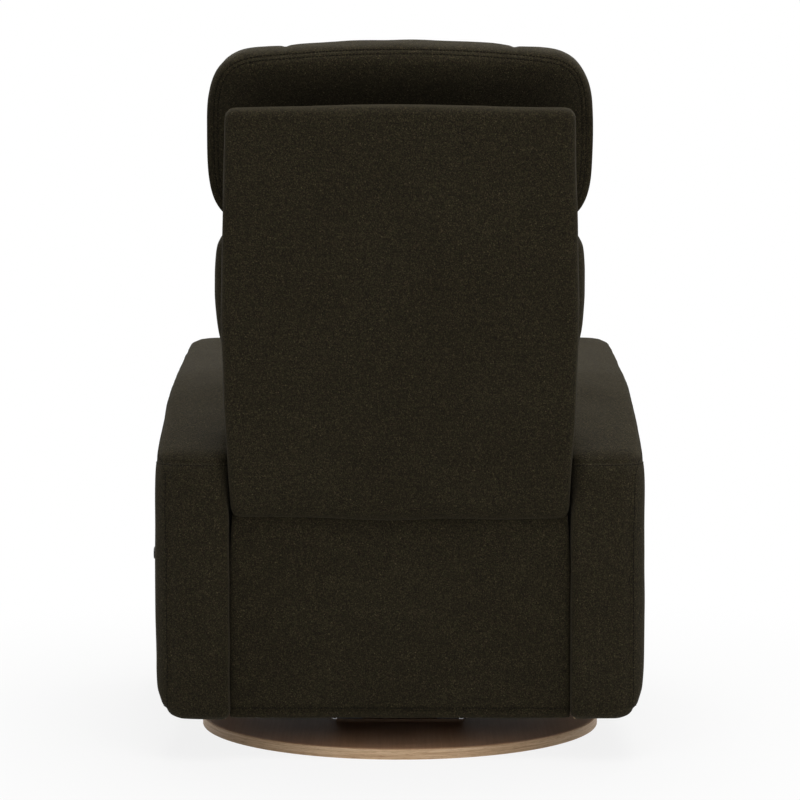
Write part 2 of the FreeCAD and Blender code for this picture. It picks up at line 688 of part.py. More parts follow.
def footrest_pad():
    """Crowned pad on the front of the footrest board."""
    rear = FOOT_BOARD_FRONT - SOFT_GAP
    front = rear - FOOT_PAD + FOOT_PAD_CROWN
    round_edge = FOOT_PAD_ROUND
    corners = [
        (rear, FOOT_LOW, round_edge),
        (rear, FOOT_HIGH, round_edge),
        (front, FOOT_HIGH, round_edge),
        (front - FOOT_PAD_CROWN, (FOOT_LOW + FOOT_HIGH) / 2, FOOT_PAD_BOW),
        (front, FOOT_LOW, round_edge),
    ]
    steps = round_over(SEAT_HALF, round_edge, 1) + round_over(-SEAT_HALF, round_edge, -1)[::-1]
    wires = [rounded_wire(inset(corners, depth), side_view(x)) for x, depth in steps]
    return loft(wires)


def arm_corners(draw=0.0, fall=0.0, rise=0.0):
    """Side outline of an arm, from its rear heel round to its front toe, drawn in by three depths."""
    return [
        (ARM_REAR - draw, ARM_BOTTOM + rise, ARM_HEEL_RADIUS),
        (ARM_REAR - draw, ARM_REAR_TOP - fall, ARM_REAR_RADIUS),
        (ARM_KNEE[0], ARM_KNEE[1] - fall, ARM_KNEE_RADIUS),
        (ARM_FRONT + draw, ARM_FRONT_TOP - fall, ARM_NOSE_RADIUS),
        (ARM_FRONT + draw, ARM_BOTTOM + rise, ARM_TOE_RADIUS),
    ]


def arms():
    """Upholstered arms over plywood cores, with their bolts and the lever's collar."""
    sections = [(x, arm_corners(depth, depth, depth))
                for x, depth in round_over(ARM_INNER, ARM_INNER_ROUND, -1)]
    for x, depth in round_over(ARM_OUTER, ARM_OUTER_ROUND, 1)[::-1]:
        share = depth / ARM_OUTER_ROUND
        sections.append((x, arm_corners(depth, share * ARM_EDGE_FALL, share * ARM_TUCK)))
    arm = loft([rounded_wire(outline, side_view(x)) for x, outline in sections])
    core_x = (CORE_X, CORE_X + ARM_CORE)
    core_corners = inset(arm_corners(), ARM_CORE_MARGIN)
    for foot in (0, -1):
        core_corners[foot] = (core_corners[foot][0], ARM_BOTTOM, PLATE)
    pocket_x = (core_x[0] - SOFT_GAP, core_x[1] + SOFT_GAP)
    pocket_corners = inset(core_corners, -SOFT_GAP)
    arm = arm.cut(flat_plate(pocket_corners, pocket_x))
    core = flat_plate(core_corners, core_x)
    core = drilled(core, bolt_places(), BOLT_RADIUS, core_x)
    arm = drilled(arm, bolt_places(), BOLT_RADIUS, (ARM_INNER, CORE_X))
    through = DRIVE_SHAFT_RADIUS + PLATE_AIR
    left_arm = arm.cut(rod_x((ARM_INNER - 1, ARM_OUTER + 1), DRIVE, through))
    left_core = core.cut(rod_x((CORE_X - 1, CORE_X + ARM_CORE + 1), DRIVE, through))
    collar_x = (ARM_OUTER, ARM_OUTER + COLLAR)
    collar = drilled(rod_x(collar_x, DRIVE, COLLAR_RADIUS), [DRIVE], DRIVE_SHAFT_RADIUS, collar_x)
    return {
        "arm_left": left_arm,
        "arm_right": mirrored(arm),
        "arm_core_left": left_core,
        "arm_core_right": mirrored(core),
        "arm_bolts": both_sides(arm_bolts()),
        "lever_collar": collar,
    }


def arm_bolts():
    """Bolts from inside the seat frame, through its rail, into the arm's core."""
    bolts = []
    for place, seat_x in zip(bolt_places(), (PLATE_OUTER, SIDE_PLATE_X)):
        shank = rod_x((seat_x, CORE_X + ARM_CORE), place, BOLT_RADIUS)
        head = rod_x((seat_x - BOLT_HEAD, seat_x), place, BOLT_HEAD_RADIUS)
        bolts.append(shank.fuse(head))
    return bolts


def seat():
    """Rails, webbing and the seat cushion."""
    rail_x = (PLATE_OUTER, RAIL_OUTER)
    rail_z = (SEAT_RAIL_TOP - SEAT_RAIL_HEIGHT, SEAT_RAIL_TOP)
    rail = box(rail_x, (SEAT_RAIL_FRONT, SEAT_RAIL_REAR), rail_z)
    rail = drilled(rail, bolt_places(), BOLT_RADIUS, rail_x)
    cross_z = (SEAT_RAIL_TOP - CROSS_RAIL_HEIGHT, SEAT_RAIL_TOP)
    front_y = (FRONT_RAIL_Y, FRONT_RAIL_Y + CROSS_RAIL)
    rear_y = (SEAT_RAIL_REAR - CROSS_RAIL, SEAT_RAIL_REAR)
    front = box((-PLATE_OUTER, PLATE_OUTER), front_y, cross_z)
    rear = box((-SIDE_PLATE_X, SIDE_PLATE_X), rear_y, cross_z)
    straps = []
    for index in range(WEB_COUNT):
        middle = (index - (WEB_COUNT - 1) / 2) * WEB_PITCH
        strap_x = (middle - WEB_WIDTH / 2, middle + WEB_WIDTH / 2)
        straps.append(box(strap_x, (front_y[0], rear_y[1]), (SEAT_RAIL_TOP, WEB_TOP)))
    nodes = {
        "seat_front_rail": front,
        "seat_rear_rail": rear,
        "seat_webbing": Part.makeCompound(straps),
        "seat_cushion": seat_cushion(),
    }
    pair(nodes, "seat_rail", rail)
    return nodes


def seat_cushion():
    """Seat with a crown across it and sides drawn in at the seams."""
    low = WEB_TOP + SOFT_GAP
    flanks = round_over(SEAT_HALF, SEAT_ROUND, 1)
    flanks = flanks + [(share * SEAT_HALF, 0.0) for share in CROWN_SHARES]
    steps = flanks + [(-x, depth) for x, depth in flanks[::-1]]
    wires = []
    for x, depth in steps:
        lift = SEAT_CROWN * math.cos(math.pi / 2 * x / SEAT_HALF)
        corners = [
            (SEAT_REAR, low, SEAT_ROUND),
            (SEAT_REAR, SEAT_REAR_TOP + lift, SEAT_ROUND),
            (SEAT_CREST[0], SEAT_CREST[1] + lift, SEAT_BOW),
            (SEAT_FRONT, SEAT_FRONT_TOP + lift, SEAT_NOSE),
            (SEAT_FRONT, low, SEAT_LIP),
        ]
        wires.append(rounded_wire(inset(corners, depth), side_view(x)))
    return loft(wires)


def recline_drop():
    """Lowest height that the outside back's rear foot reaches when it reclines."""
    angle = math.radians(RECLINE_LIMIT)
    y = BACK_FOOT[0] - RECLINE[0]
    z = BACK_FOOT[1] - RECLINE[1]
    return RECLINE[1] + z * math.cos(angle) - y * math.sin(angle)


def lower_back():
    """Fixed panel under the back, its rail, and the cloth flap up to the back."""
    panel_top = recline_drop() - SWING_AIR
    front = LOWER_PANEL_REAR - LOWER_PANEL
    half = RAIL_OUTER
    corners = [
        (front, ARM_BOTTOM, PLATE),
        (LOWER_PANEL_REAR, ARM_BOTTOM, PLATE),
        (LOWER_PANEL_REAR, panel_top, PLATE),
        (front, panel_top, PLATE),
    ]
    rail_z = (ARM_BOTTOM + LOWER_RAIL_RISE, ARM_BOTTOM + LOWER_RAIL_RISE + LOWER_RAIL_HEIGHT)
    rail_y = (front - SOFT_GAP - LOWER_RAIL, front - SOFT_GAP)
    flap_low = (LOWER_PANEL_REAR - FLAP_INSET - FLAP, panel_top + SOFT_GAP)
    flap_high = (BACK_FOOT[0] - BACK_SHELL_ROUND - FLAP, BACK_FOOT[1] - SOFT_GAP)
    flap_corners = [
        flap_low,
        (flap_low[0] + FLAP, flap_low[1]),
        (flap_high[0] + FLAP, flap_high[1]),
        flap_high,
    ]
    points = [side_view(-BACK_FOOT_HALF)(place) for place in flap_corners]
    face = Part.Face(Part.makePolygon(points + points[:1]))
    return {
        "lower_back_panel": flat_plate(corners, (-half, half)),
        "lower_rear_rail": box((-half, half), rail_y, rail_z),
        "tail_flap": face.extrude(Vector(2 * BACK_FOOT_HALF, 0, 0)),
    }


def back():
    """Outside back, its board, the back cushion and the brackets at both ends."""
    half_outline = [
        (BACK_FOOT_HALF, 0.0, BACK_CORNER),
        (BACK_WAIST_HALF, BACK_WAIST_RISE, BACK_BOW),
        (BACK_TOP_HALF, BACK_HEIGHT - BACK_TOP_CROWN, BACK_CORNER),
    ]
    crown = [(0.0, BACK_HEIGHT, BACK_BOW)]
    outline = half_outline + crown + [(-x, s, r) for x, s, r in reversed(half_outline)]
    steps = round_over(0.0, BACK_SHELL_ROUND, 1) + [(-BACK_SHELL, 0.0)]
    shell = loft([rounded_wire(inset(outline, depth), rear_view(n)) for n, depth in steps])
    board_s = (BACK_BOARD_FOOT, BACK_BOARD_TOP)
    board = box((-BACK_BOARD_HALF, BACK_BOARD_HALF), (BOARD_N, -BACK_SHELL), board_s)
    nodes = {
        "outside_back": leaned(shell),
        "back_board": leaned(board),
        "back_cushion": leaned(back_cushion()),
    }
    pair(nodes, "recline_bracket", leaned(recline_bracket()))
    nodes["headrest_brackets"] = both_sides([leaned(headrest_bracket())])
    return nodes


def recline_bracket():
    """Cranked bar from the recline pin to the edge of the back board."""
    bracket_x = (BRACKET_X, BRACKET_X + PLATE)
    pivot = in_back(RECLINE)
    corners = [
        (-BACK_SHELL - HEAD_AIR, BRACKET_TOP, BRACKET_CORNER),
        (BOARD_N, BRACKET_TOP, BRACKET_CORNER),
        (BOARD_N, BACK_BOARD_FOOT, BRACKET_BEND),
        (pivot[0] - 0.4 * RECLINE_HUB_RADIUS, pivot[1] + 0.85 * RECLINE_HUB_RADIUS, BRACKET_CORNER),
        (pivot[0] + 0.3 * RECLINE_HUB_RADIUS, pivot[1] - 0.9 * RECLINE_HUB_RADIUS, BRACKET_CORNER),
        (-BACK_SHELL - HEAD_AIR, 0.0, BRACKET_BEND),
    ]
    bar = flat_plate(corners, bracket_x).fuse(rod_x(bracket_x, pivot, RECLINE_HUB_RADIUS))
    return drilled(bar, [pivot], RECLINE_PIN_RADIUS, bracket_x)


def back_cushion():
    """Back cushion that swells beside the outside back and narrows between the arms."""
    foot = round_over(BACK_PAD_FOOT, BACK_PAD_ROUND, -1)
    top = round_over(BACK_PAD_TOP, BACK_PAD_ROUND, 1)
    middle = [(BACK_PAD_NECK + share * (BACK_PAD_BULGE - BACK_PAD_NECK), 0.0)
              for share in SWELL_SHARES]
    wires = []
    for s, depth in foot + middle + top[::-1]:
        half = back_pad_half(s) - depth
        front = BACK_PAD_REAR - BACK_PAD + depth
        rear = BACK_PAD_REAR - depth
        corners = [
            (half, rear, BACK_PAD_EDGE),
            (-half, rear, BACK_PAD_EDGE),
            (-half, front + SEAT_CROWN, BACK_PAD_EDGE),
            (0.0, front, BACK_BOW),
            (half, front + SEAT_CROWN, BACK_PAD_EDGE),
        ]
        wires.append(rounded_wire(corners, level_view(s)))
    return loft(wires)


def back_pad_half(s):
    """Half width of the back cushion at a height: a waist that swells to a bulge."""
    share = min(max((s - BACK_PAD_NECK) / (BACK_PAD_BULGE - BACK_PAD_NECK), 0.0), 2.0)
    swell = 0.5 - 0.5 * math.cos(math.pi * share)
    if share > 1.0:
        swell = 1.0 - BACK_PAD_TAPER * (share - 1.0) ** 2
    return BACK_PAD_WAIST + swell * (BACK_PAD_HALF - BACK_PAD_WAIST)


def headrest_bracket():
    """Angle on the back board that carries the headrest's tilt pivot."""
    bracket_x = (HEAD_BRACKET_X, HEAD_BRACKET_X + PLATE)
    foot = HEAD_PIVOT[1] + HEAD_HUB_RADIUS
    corners = [
        (BOARD_N, foot, BRACKET_CORNER),
        (BOARD_N, foot + HEAD_BRACKET_HEIGHT, BRACKET_CORNER),
        (HEAD_PIVOT[0] + 0.5 * HEAD_HUB_RADIUS, HEAD_PIVOT[1] + 0.85 * HEAD_HUB_RADIUS, BRACKET_CORNER),
        (HEAD_PIVOT[0], HEAD_PIVOT[1] - HEAD_HUB_RADIUS, BRACKET_CORNER),
    ]
    arm = flat_plate(corners, bracket_x).fuse(rod_x(bracket_x, HEAD_PIVOT, HEAD_HUB_RADIUS))
    flange_x = (HEAD_BRACKET_X - HEAD_BRACKET_FLANGE, HEAD_BRACKET_X + PLATE)
    flange = box(flange_x, (BOARD_N - PLATE, BOARD_N), (foot + PLATE, foot + HEAD_BRACKET_HEIGHT - PLATE))
    return drilled(arm.fuse(flange), [HEAD_PIVOT], STUD_RADIUS, bracket_x)


def headrest():
    """Head cushion with its board and the yokes that tilt on the brackets."""
    yoke_x = (HEAD_BRACKET_X + PLATE + RECLINE_AIR, HEAD_BRACKET_X + 2 * PLATE + RECLINE_AIR)
    board_n = (HEAD_PIVOT[0] - HEAD_BOARD / 2, HEAD_PIVOT[0] + HEAD_BOARD / 2)
    board_s = (HEAD_BOARD_FOOT, HEAD_BOARD_FOOT + HEAD_BOARD_HEIGHT)
    board = box((-HEAD_BOARD_HALF, HEAD_BOARD_HALF), board_n, board_s)
    strip = 1.5 * HEAD_HUB_RADIUS
    corners = [
        (board_n[0], HEAD_PIVOT[1] - 0.5 * HEAD_HUB_RADIUS, BRACKET_CORNER),
        (board_n[0], HEAD_BOARD_FOOT + HEAD_BRACKET_HEIGHT, BRACKET_CORNER),
        (board_n[0] - strip, HEAD_BOARD_FOOT + HEAD_BRACKET_HEIGHT, BRACKET_CORNER),
        (board_n[0] - strip, HEAD_PIVOT[1], BRACKET_CORNER),
    ]
    yoke = flat_plate(corners, yoke_x).fuse(rod_x(yoke_x, HEAD_PIVOT, HEAD_HUB_RADIUS))
    yoke = yoke.fuse(stud(HEAD_PIVOT, yoke_x[0], HEAD_BRACKET_X, True))
    air = HEAD_POCKET_AIR
    slot_x = (HEAD_BRACKET_X - STUD_HEAD - air, yoke_x[1] + air)
    slot_n = (board_n[0] - strip - air, HEAD_REAR + air)
    slot_s = (HEAD_FOOT - air, HEAD_BOARD_FOOT + HEAD_BRACKET_HEIGHT + air)
    slot = box(slot_x, slot_n, slot_s)
    pocket_x = (-HEAD_BOARD_HALF - SOFT_GAP, HEAD_BOARD_HALF + SOFT_GAP)
    pocket_n = (board_n[0] - SOFT_GAP, board_n[1] + SOFT_GAP)
    pocket = box(pocket_x, pocket_n, (slot_s[0], board_s[1] + SOFT_GAP))
    cushion = head_cushion().cut(pocket).cut(slot).cut(mirrored(slot))
    nodes = {"headrest_cushion": leaned(cushion), "headrest_board": leaned(board)}
    nodes["headrest_yokes"] = both_sides([leaned(yoke)])
    return nodes


def head_cushion():
    """Head pillow in three channels, with a round foot about its tilt pivot."""
    end = round_over(HEAD_HALF, HEAD_ROUND, 1)
    shoulder = [(HEAD_HALF - share * HEAD_SHOULDER, 0.0) for share in SHOULDER_SHARES]
    dip = [(HEAD_CHANNEL_X + step * HEAD_CHANNEL_WIDTH, HEAD_CHANNEL * (1 - abs(step)))
           for step in (1, 0.5, 0, -0.5, -1)]
    flank = end + shoulder + dip
    wires = [head_section(x, drawn) for x, drawn in flank]
    wires.append(head_section(0.0, 0.0))
    wires.extend(head_section(-x, drawn) for x, drawn in flank[::-1])
    return loft(wires)


def corner_round(x, width, height):
    """How far a corner of the head pillow has rounded at one x, as a quarter ellipse."""
    beyond = max(abs(x) - HEAD_HALF + width, 0.0) / width
    return height * (1 - math.sqrt(max(1 - beyond ** 2, 0.0)))


def head_section(x, drawn):
    """Side outline of the head pillow at one x, shorter at both ends than in the middle."""
    half = HEAD_THICK / 2 - drawn
    drop = HEAD_CROWN * (x / HEAD_HALF) ** 2 + corner_round(x, HEAD_SHOULDER, HEAD_CORNER)
    top = HEAD_FOOT + HEAD_HEIGHT - drop - drawn
    foot = HEAD_FOOT + corner_round(x, HEAD_HEEL, HEAD_HEEL_RISE)
    corners = [
        (HEAD_PIVOT[0] + half, foot, HEAD_FOOT_SHARE * half),
        (HEAD_PIVOT[0] + half - HEAD_TAPER / 2, top, HEAD_TOP_ROUND),
        (HEAD_PIVOT[0] - half + HEAD_TAPER, top, HEAD_TOP_ROUND),
        (HEAD_PIVOT[0] - half, foot, HEAD_FOOT_SHARE * half),
    ]
    return rounded_wire(corners, side_view(x))


def main():
    """Builds every sub-part and writes one file for each."""
    nodes = {}
    for section in (round_base, turning_stand, rocker, side_plates, drive_and_links, footrest,
                    arms, seat, lower_back, back, headrest):
        nodes.update(section())
    os.makedirs("parts", exist_ok=True)
    for name, shape in nodes.items():
        shape.exportStep("parts/" + name + ".step")
    print("nodes", len(nodes))
    print("least gap between spring turns", round(coil_self_gap(BEAM_TOP, CRADLE_TOP), 2))


main()
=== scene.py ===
"""Looks of the swivel rocker recliner: covers, seams, stitches, materials, light and camera on the solids."""

import json
import math

import bmesh
import bpy
import numpy as np
from mathutils import Matrix, Vector, noise
from mathutils.bvhtree import BVHTree
from mathutils.kdtree import KDTree

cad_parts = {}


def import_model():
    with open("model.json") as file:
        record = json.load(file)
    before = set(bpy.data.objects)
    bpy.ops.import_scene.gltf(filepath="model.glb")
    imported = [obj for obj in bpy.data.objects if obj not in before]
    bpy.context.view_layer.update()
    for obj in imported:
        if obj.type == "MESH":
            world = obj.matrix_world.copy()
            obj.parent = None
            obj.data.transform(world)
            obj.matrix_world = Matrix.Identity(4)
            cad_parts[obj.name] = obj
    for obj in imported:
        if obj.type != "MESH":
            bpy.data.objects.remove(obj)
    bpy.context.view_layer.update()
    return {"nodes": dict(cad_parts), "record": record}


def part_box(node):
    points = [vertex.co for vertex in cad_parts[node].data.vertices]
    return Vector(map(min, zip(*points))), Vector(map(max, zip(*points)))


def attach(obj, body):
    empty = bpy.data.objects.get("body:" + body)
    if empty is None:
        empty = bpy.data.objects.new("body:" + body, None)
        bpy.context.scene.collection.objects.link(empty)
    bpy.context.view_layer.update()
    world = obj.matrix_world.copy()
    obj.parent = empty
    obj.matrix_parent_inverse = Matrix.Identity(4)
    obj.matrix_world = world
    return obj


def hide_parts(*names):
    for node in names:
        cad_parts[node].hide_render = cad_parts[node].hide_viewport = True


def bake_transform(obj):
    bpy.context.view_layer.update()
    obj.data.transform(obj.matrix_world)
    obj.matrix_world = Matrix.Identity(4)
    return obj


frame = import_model()
nodes = frame["nodes"]

# Camera that sees the chair as the photograph does, in metres and degrees
CAMERA_PLACE = (0.0, 4.12, 0.789)
CAMERA_DOWN = 3.825
SENSOR = 36.0
LENS = 116.8

# Back and headrest lean by this angle about this line
LEAN = math.radians(8.0)
LEAN_FOOT = Vector((0.0, 0.345, 0.358))
CHANNELS = (-0.166, 0.166)  # seams that part the head pillow and back cushion into three

# Cloth
VOXEL = 0.005
BROAD_VOXEL = 0.007         # for the arms and the back cushion
SEAT_VOXEL = 0.008
RELAX = 0.5                 # how far one round of smoothing moves a point
SIM_FRAMES = 12
PRESSURE = 8.0
TINY = 1e-9                 # keeps lengths above zero

X, Y, Z = range(3)
UPRIGHT = Matrix.Identity(4)
LEANED = Matrix.Translation(LEAN_FOOT) @ Matrix.Rotation(-LEAN, 4, "X")


# Meshes

def coords(mesh):
    """Vertex places of a mesh as an array."""
    flat = np.empty(len(mesh.vertices) * 3)
    mesh.vertices.foreach_get("co", flat)
    return flat.reshape(-1, 3)


def set_coords(mesh, places):
    mesh.vertices.foreach_set("co", np.ascontiguousarray(places, float).ravel())
    mesh.update()


def vertex_normals(mesh):
    flat = np.empty(len(mesh.vertices) * 3)
    mesh.vertices.foreach_get("normal", flat)
    return flat.reshape(-1, 3)


def new_object(name, mesh):
    obj = bpy.data.objects.new(name, mesh)
    bpy.context.scene.collection.objects.link(obj)
    return obj


def mesh_object(name, places, faces):
    mesh = bpy.data.meshes.new(name)
    mesh.from_pydata([tuple(p) for p in places], [], [tuple(f) for f in faces])
    mesh.update()
    return new_object(name, mesh)


def settle_modifiers(obj):
    """Replaces the object's mesh by what its modifiers make of it."""
    graph = bpy.context.evaluated_depsgraph_get()
    made = bpy.data.meshes.new_from_object(obj.evaluated_get(graph))
    obj.modifiers.clear()
    obj.data = made
    made.name = obj.name


def smooth_faces(obj):
    obj.data.polygons.foreach_set("use_smooth", [True] * len(obj.data.polygons))


def skin(name, node_names, voxel=VOXEL, hull=True, frame_of=UPRIGHT, rounds=3):
    """Evenly meshed skin round CAD nodes, in the piece's own upright frame, with their box there."""
    shape = bmesh.new()
    for node in node_names:
        shape.from_mesh(nodes[node].data)
    shape.transform(frame_of.inverted())
    solid = np.array([v.co for v in shape.verts])
    low, high = solid.min(0), solid.max(0)
    if hull:
        bmesh.ops.delete(shape, geom=shape.edges[:] + shape.faces[:], context="EDGES_FACES")
        made = bmesh.ops.convex_hull(shape, input=shape.verts)
        unused = {g for g in made["geom_interior"] + made["geom_unused"] if isinstance(g, bmesh.types.BMVert)}
        bmesh.ops.delete(shape, geom=list(unused), context="VERTS")
    mesh = bpy.data.meshes.new(name)
    shape.to_mesh(mesh)
    shape.free()
    obj = new_object(name, mesh)
    remesh = obj.modifiers.new("remesh", "REMESH")
    remesh.mode = "VOXEL"
    remesh.voxel_size = voxel
    settle_modifiers(obj)
    relax(obj, rounds)
    fit(obj, low, high)
    return obj, low, high


def relax(obj, rounds):
    """Evens out the steps that the voxels leave."""
    smooth = obj.modifiers.new("relax", "SMOOTH")
    smooth.factor = RELAX
    smooth.iterations = rounds
    settle_modifiers(obj)


def fit(obj, low, high):
    """Stretches a mesh so that its box is the given one."""
    places = coords(obj.data)
    have_low, have_high = places.min(0), places.max(0)
    share = (places - have_low) / (have_high - have_low)
    set_coords(obj.data, np.array(low) + share * (np.array(high) - np.array(low)))


def inflate(obj, held, cap):
    """Swells a closed mesh as cloth under pressure.

    held gives each point's pin weight from 0 to 1, and cap is the most that a point may move.
    """
    rest = coords(obj.data)
    group = obj.vertex_groups.new(name="held")
    for level in np.unique(np.round(held, 1)):
        if level > 0:
            chosen = np.nonzero(np.round(held, 1) == level)[0]
            group.add(chosen.tolist(), float(level), "REPLACE")
    cloth = obj.modifiers.new("cloth", "CLOTH")
    cloth.settings.quality = 3
    cloth.settings.mass = 0.3
    cloth.settings.tension_stiffness = 15
    cloth.settings.compression_stiffness = 15
    cloth.settings.shear_stiffness = 5
    cloth.settings.bending_stiffness = 0.5
    cloth.settings.use_pressure = True
    cloth.settings.uniform_pressure_force = PRESSURE
    cloth.settings.vertex_group_mass = "held"
    cloth.settings.effector_weights.gravity = 0
    cloth.collision_settings.use_self_collision = False
    cloth.point_cache.frame_end = SIM_FRAMES
    scene = bpy.context.scene
    for step in range(1, SIM_FRAMES + 1):
        scene.frame_set(step)
    graph = bpy.context.evaluated_depsgraph_get()
    moved = coords(obj.evaluated_get(graph).data) - rest
    obj.modifiers.clear()
    obj.vertex_groups.clear()
    scene.frame_set(1)
    length = np.maximum(np.linalg.norm(moved, axis=1), TINY)
    set_coords(obj.data, rest + moved * (cap * np.tanh(length / cap) / length)[:, None])


def subdivide(obj):
    step = obj.modifiers.new("fine", "SUBSURF")
    step.levels = 1
    step.render_levels = 1
    settle_modifiers(obj)


def ripple(obj, size, height, seed):
    """Slight unevenness of filling under cloth."""
    places = coords(obj.data)
    shift = Vector((seed * 3.1, seed * 1.7, seed * 2.3))
    lift = np.array([noise.noise(Vector(p) / size + shift) for p in places])
    set_coords(obj.data, places + vertex_normals(obj.data) * (lift * height)[:, None])


# Seams: lines of points on a surface

SEAM_STEP = 0.004           # between the points of a seam
OUTLINE_ROUNDS = 4          # of smoothing before an outline is drawn in
FACE_RAY = 3.0              # how far out the rays start that look for a face
SLICE_RAY = 2.0             # and those that look for a cut
SLICE_RAYS = 400
VALLEY = 0.55               # share of a seam's depth in its sharp valley; the rest is a soft shoulder
SHOULDER = 3.0              # width of the shoulder over that of the valley


def tree_of(obj):
    shape = bmesh.new()
    shape.from_mesh(obj.data)
    tree = BVHTree.FromBMesh(shape)
    shape.free()
    return tree


def convex_outline(flat):
    """Counter-clockwise hull of 2-D points."""
    order = flat[np.lexsort((flat[:, 1], flat[:, 0]))]

    def chain(points):
        kept = []
        for p in points:
            while len(kept) > 1:
                a, b = kept[-2], kept[-1]
                if (b[0] - a[0]) * (p[1] - a[1]) - (b[1] - a[1]) * (p[0] - a[0]) > 0:
                    break
                kept.pop()
            kept.append(p)
        return kept[:-1]

    return np.array(chain(order) + chain(order[::-1]))


def even_points(points, spacing, closed=False):
    """Points at even distances along a line."""
    line = np.asarray(points, float)
    if closed:
        line = np.vstack([line, line[:1]])
    lengths = np.concatenate([[0], np.cumsum(np.linalg.norm(np.diff(line, axis=0), axis=1))])
    count = max(int(round(lengths[-1] / spacing)), 2)
    places = np.linspace(0, lengths[-1], count, endpoint=not closed)
    return np.stack([np.interp(places, lengths, line[:, k]) for k in range(line.shape[1])], axis=1)


def inset_outline(flat, depth):
    """A closed outline drawn in by a depth."""
    line = even_points(convex_outline(flat), SEAM_STEP, closed=True)
    for _ in range(OUTLINE_ROUNDS):
        line = (np.roll(line, 1, 0) + 2 * line + np.roll(line, -1, 0)) / 4
    along = np.roll(line, -1, 0) - np.roll(line, 1, 0)
    inward = np.stack([-along[:, 1], along[:, 0]], axis=1)
    return line + inward / np.linalg.norm(inward, axis=1)[:, None] * depth


def cast(tree, start, toward):
    hit = tree.ray_cast(Vector(start), Vector(toward))
    return None if hit[0] is None else (np.array(hit[0]), np.array(hit[1]))


def face_loop(obj, axis, side, depth):
    """Seam on the face that looks along an axis, at a depth inside its outline: (points, normals)."""
    tree = tree_of(obj)
    places = coords(obj.data)
    flat_axes = [k for k in range(3) if k != axis]
    toward = np.zeros(3)
    toward[axis] = -side
    found = []
    for a, b in inset_outline(places[:, flat_axes], depth):
        start = np.zeros(3)
        start[flat_axes[0]], start[flat_axes[1]], start[axis] = a, b, side * FACE_RAY
        hit = cast(tree, start, toward)
        if hit:
            found.append(hit)
    return np.array([p for p, _ in found]), np.array([n for _, n in found])


def slice_line(obj, across, place, arc, centre):
    """Seam where a plane cuts the surface: (points, normals).

    arc gives its two ends as angles about the centre, in degrees. Across x, 90 is up and 180 forward;
    across z, 0 is to the sitter's left and 90 to the rear.
    """
    tree = tree_of(obj)
    other = [k for k in range(3) if k != across]
    found = []
    for angle in np.radians(np.linspace(*arc, SLICE_RAYS)):
        out = np.zeros(3)
        out[other[0]], out[other[1]] = math.cos(angle), math.sin(angle)
        middle = np.array(centre, float)
        middle[across] = place
        hit = cast(tree, middle + out * SLICE_RAY, -out)
        if hit:
            found.append(hit)
    points = even_points(np.array([p for p, _ in found]), SEAM_STEP)
    return points, surface_normals(tree, points)


def surface_normals(tree, points):
    return np.array([np.array(tree.find_nearest(Vector(p))[1]) for p in points])


def distance_to(obj, points):
    """Distance from each vertex to the nearest of some points."""
    tree = KDTree(len(points))
    for index, point in enumerate(points):
        tree.insert(point, index)
    tree.balance()
    return np.array([tree.find(v.co)[2] for v in obj.data.vertices])


def sew(obj, points, depth, width):
    """Draws the surface in along a seam, with a sharp valley and a soft shoulder."""
    gap = distance_to(obj, points)
    valley = VALLEY * np.exp(-(gap / width) ** 2)
    shoulder = (1 - VALLEY) * np.exp(-gap / (SHOULDER * width))
    pull = depth * (valley + shoulder)
    set_coords(obj.data, coords(obj.data) - vertex_normals(obj.data) * pull[:, None])


STITCH_LENGTH = 0.0042
STITCH_PITCH = 0.0048
STITCH_RADIUS = 0.00055
STITCH_SIDES = 6
STITCH_SHAPE = (            # place along the stitch in lengths, thickness and rise in radii
    (-0.5, 0.25, -0.6), (-0.28, 1.0, 0.35), (0.28, 1.0, 0.35), (0.5, 0.25, -0.6),
)
STITCH_SKIP = 3             # a longer step than this many pitches is a break in the row


def stitch_mesh(name, rows):
    """Thread lying in short stitches along rows of (points, normals)."""
    places, faces = [], []
    turns = [2 * math.pi * k / STITCH_SIDES for k in range(STITCH_SIDES)]
    last = (len(STITCH_SHAPE) - 1) * STITCH_SIDES
    for points, normals in rows:
        line = even_points(points, STITCH_PITCH)
        tree = KDTree(len(points))
        for index, point in enumerate(points):
            tree.insert(point, index)
        tree.balance()
        for index in range(len(line) - 1):
            middle = (line[index] + line[index + 1]) / 2
            along = line[index + 1] - line[index]
            reach = np.linalg.norm(along)
            if reach < TINY or reach > STITCH_SKIP * STITCH_PITCH:
                continue
            along = along / reach
            up = normals[tree.find(Vector(middle))[1]]
            up = up - along * np.dot(up, along)
            up = up / max(np.linalg.norm(up), TINY)
            side = np.cross(along, up)
            base = len(places)
            for t, thick, rise in STITCH_SHAPE:
                hub = middle + along * (t * STITCH_LENGTH) + up * (rise * STITCH_RADIUS)
                for turn in turns:
                    out = side * math.cos(turn) + up * math.sin(turn)
                    places.append(hub + out * (thick * STITCH_RADIUS))
            for start in range(base, base + last, STITCH_SIDES):
                for k in range(STITCH_SIDES):
                    a, b = start + k, start + (k + 1) % STITCH_SIDES
                    faces.append((a, b, b + STITCH_SIDES, a + STITCH_SIDES))
            faces.append(tuple(base + k for k in reversed(range(STITCH_SIDES))))
            faces.append(tuple(base + last + k for k in range(STITCH_SIDES)))
    return mesh_object(name, places, faces)


# Materials

def node_material(name):
    material = bpy.data.materials.new(name)
    material.use_nodes = True
    tree = material.node_tree
    return material, tree, tree.nodes["Principled BSDF"]


def linear(red, green, blue):
    """Scene colour of an 8-bit screen colour."""
    def one(c):
        c = c / 255
        return c / 12.92 if c <= 0.04045 else ((c + 0.055) / 1.055) ** 2.4
    return (one(red), one(green), one(blue), 1.0)


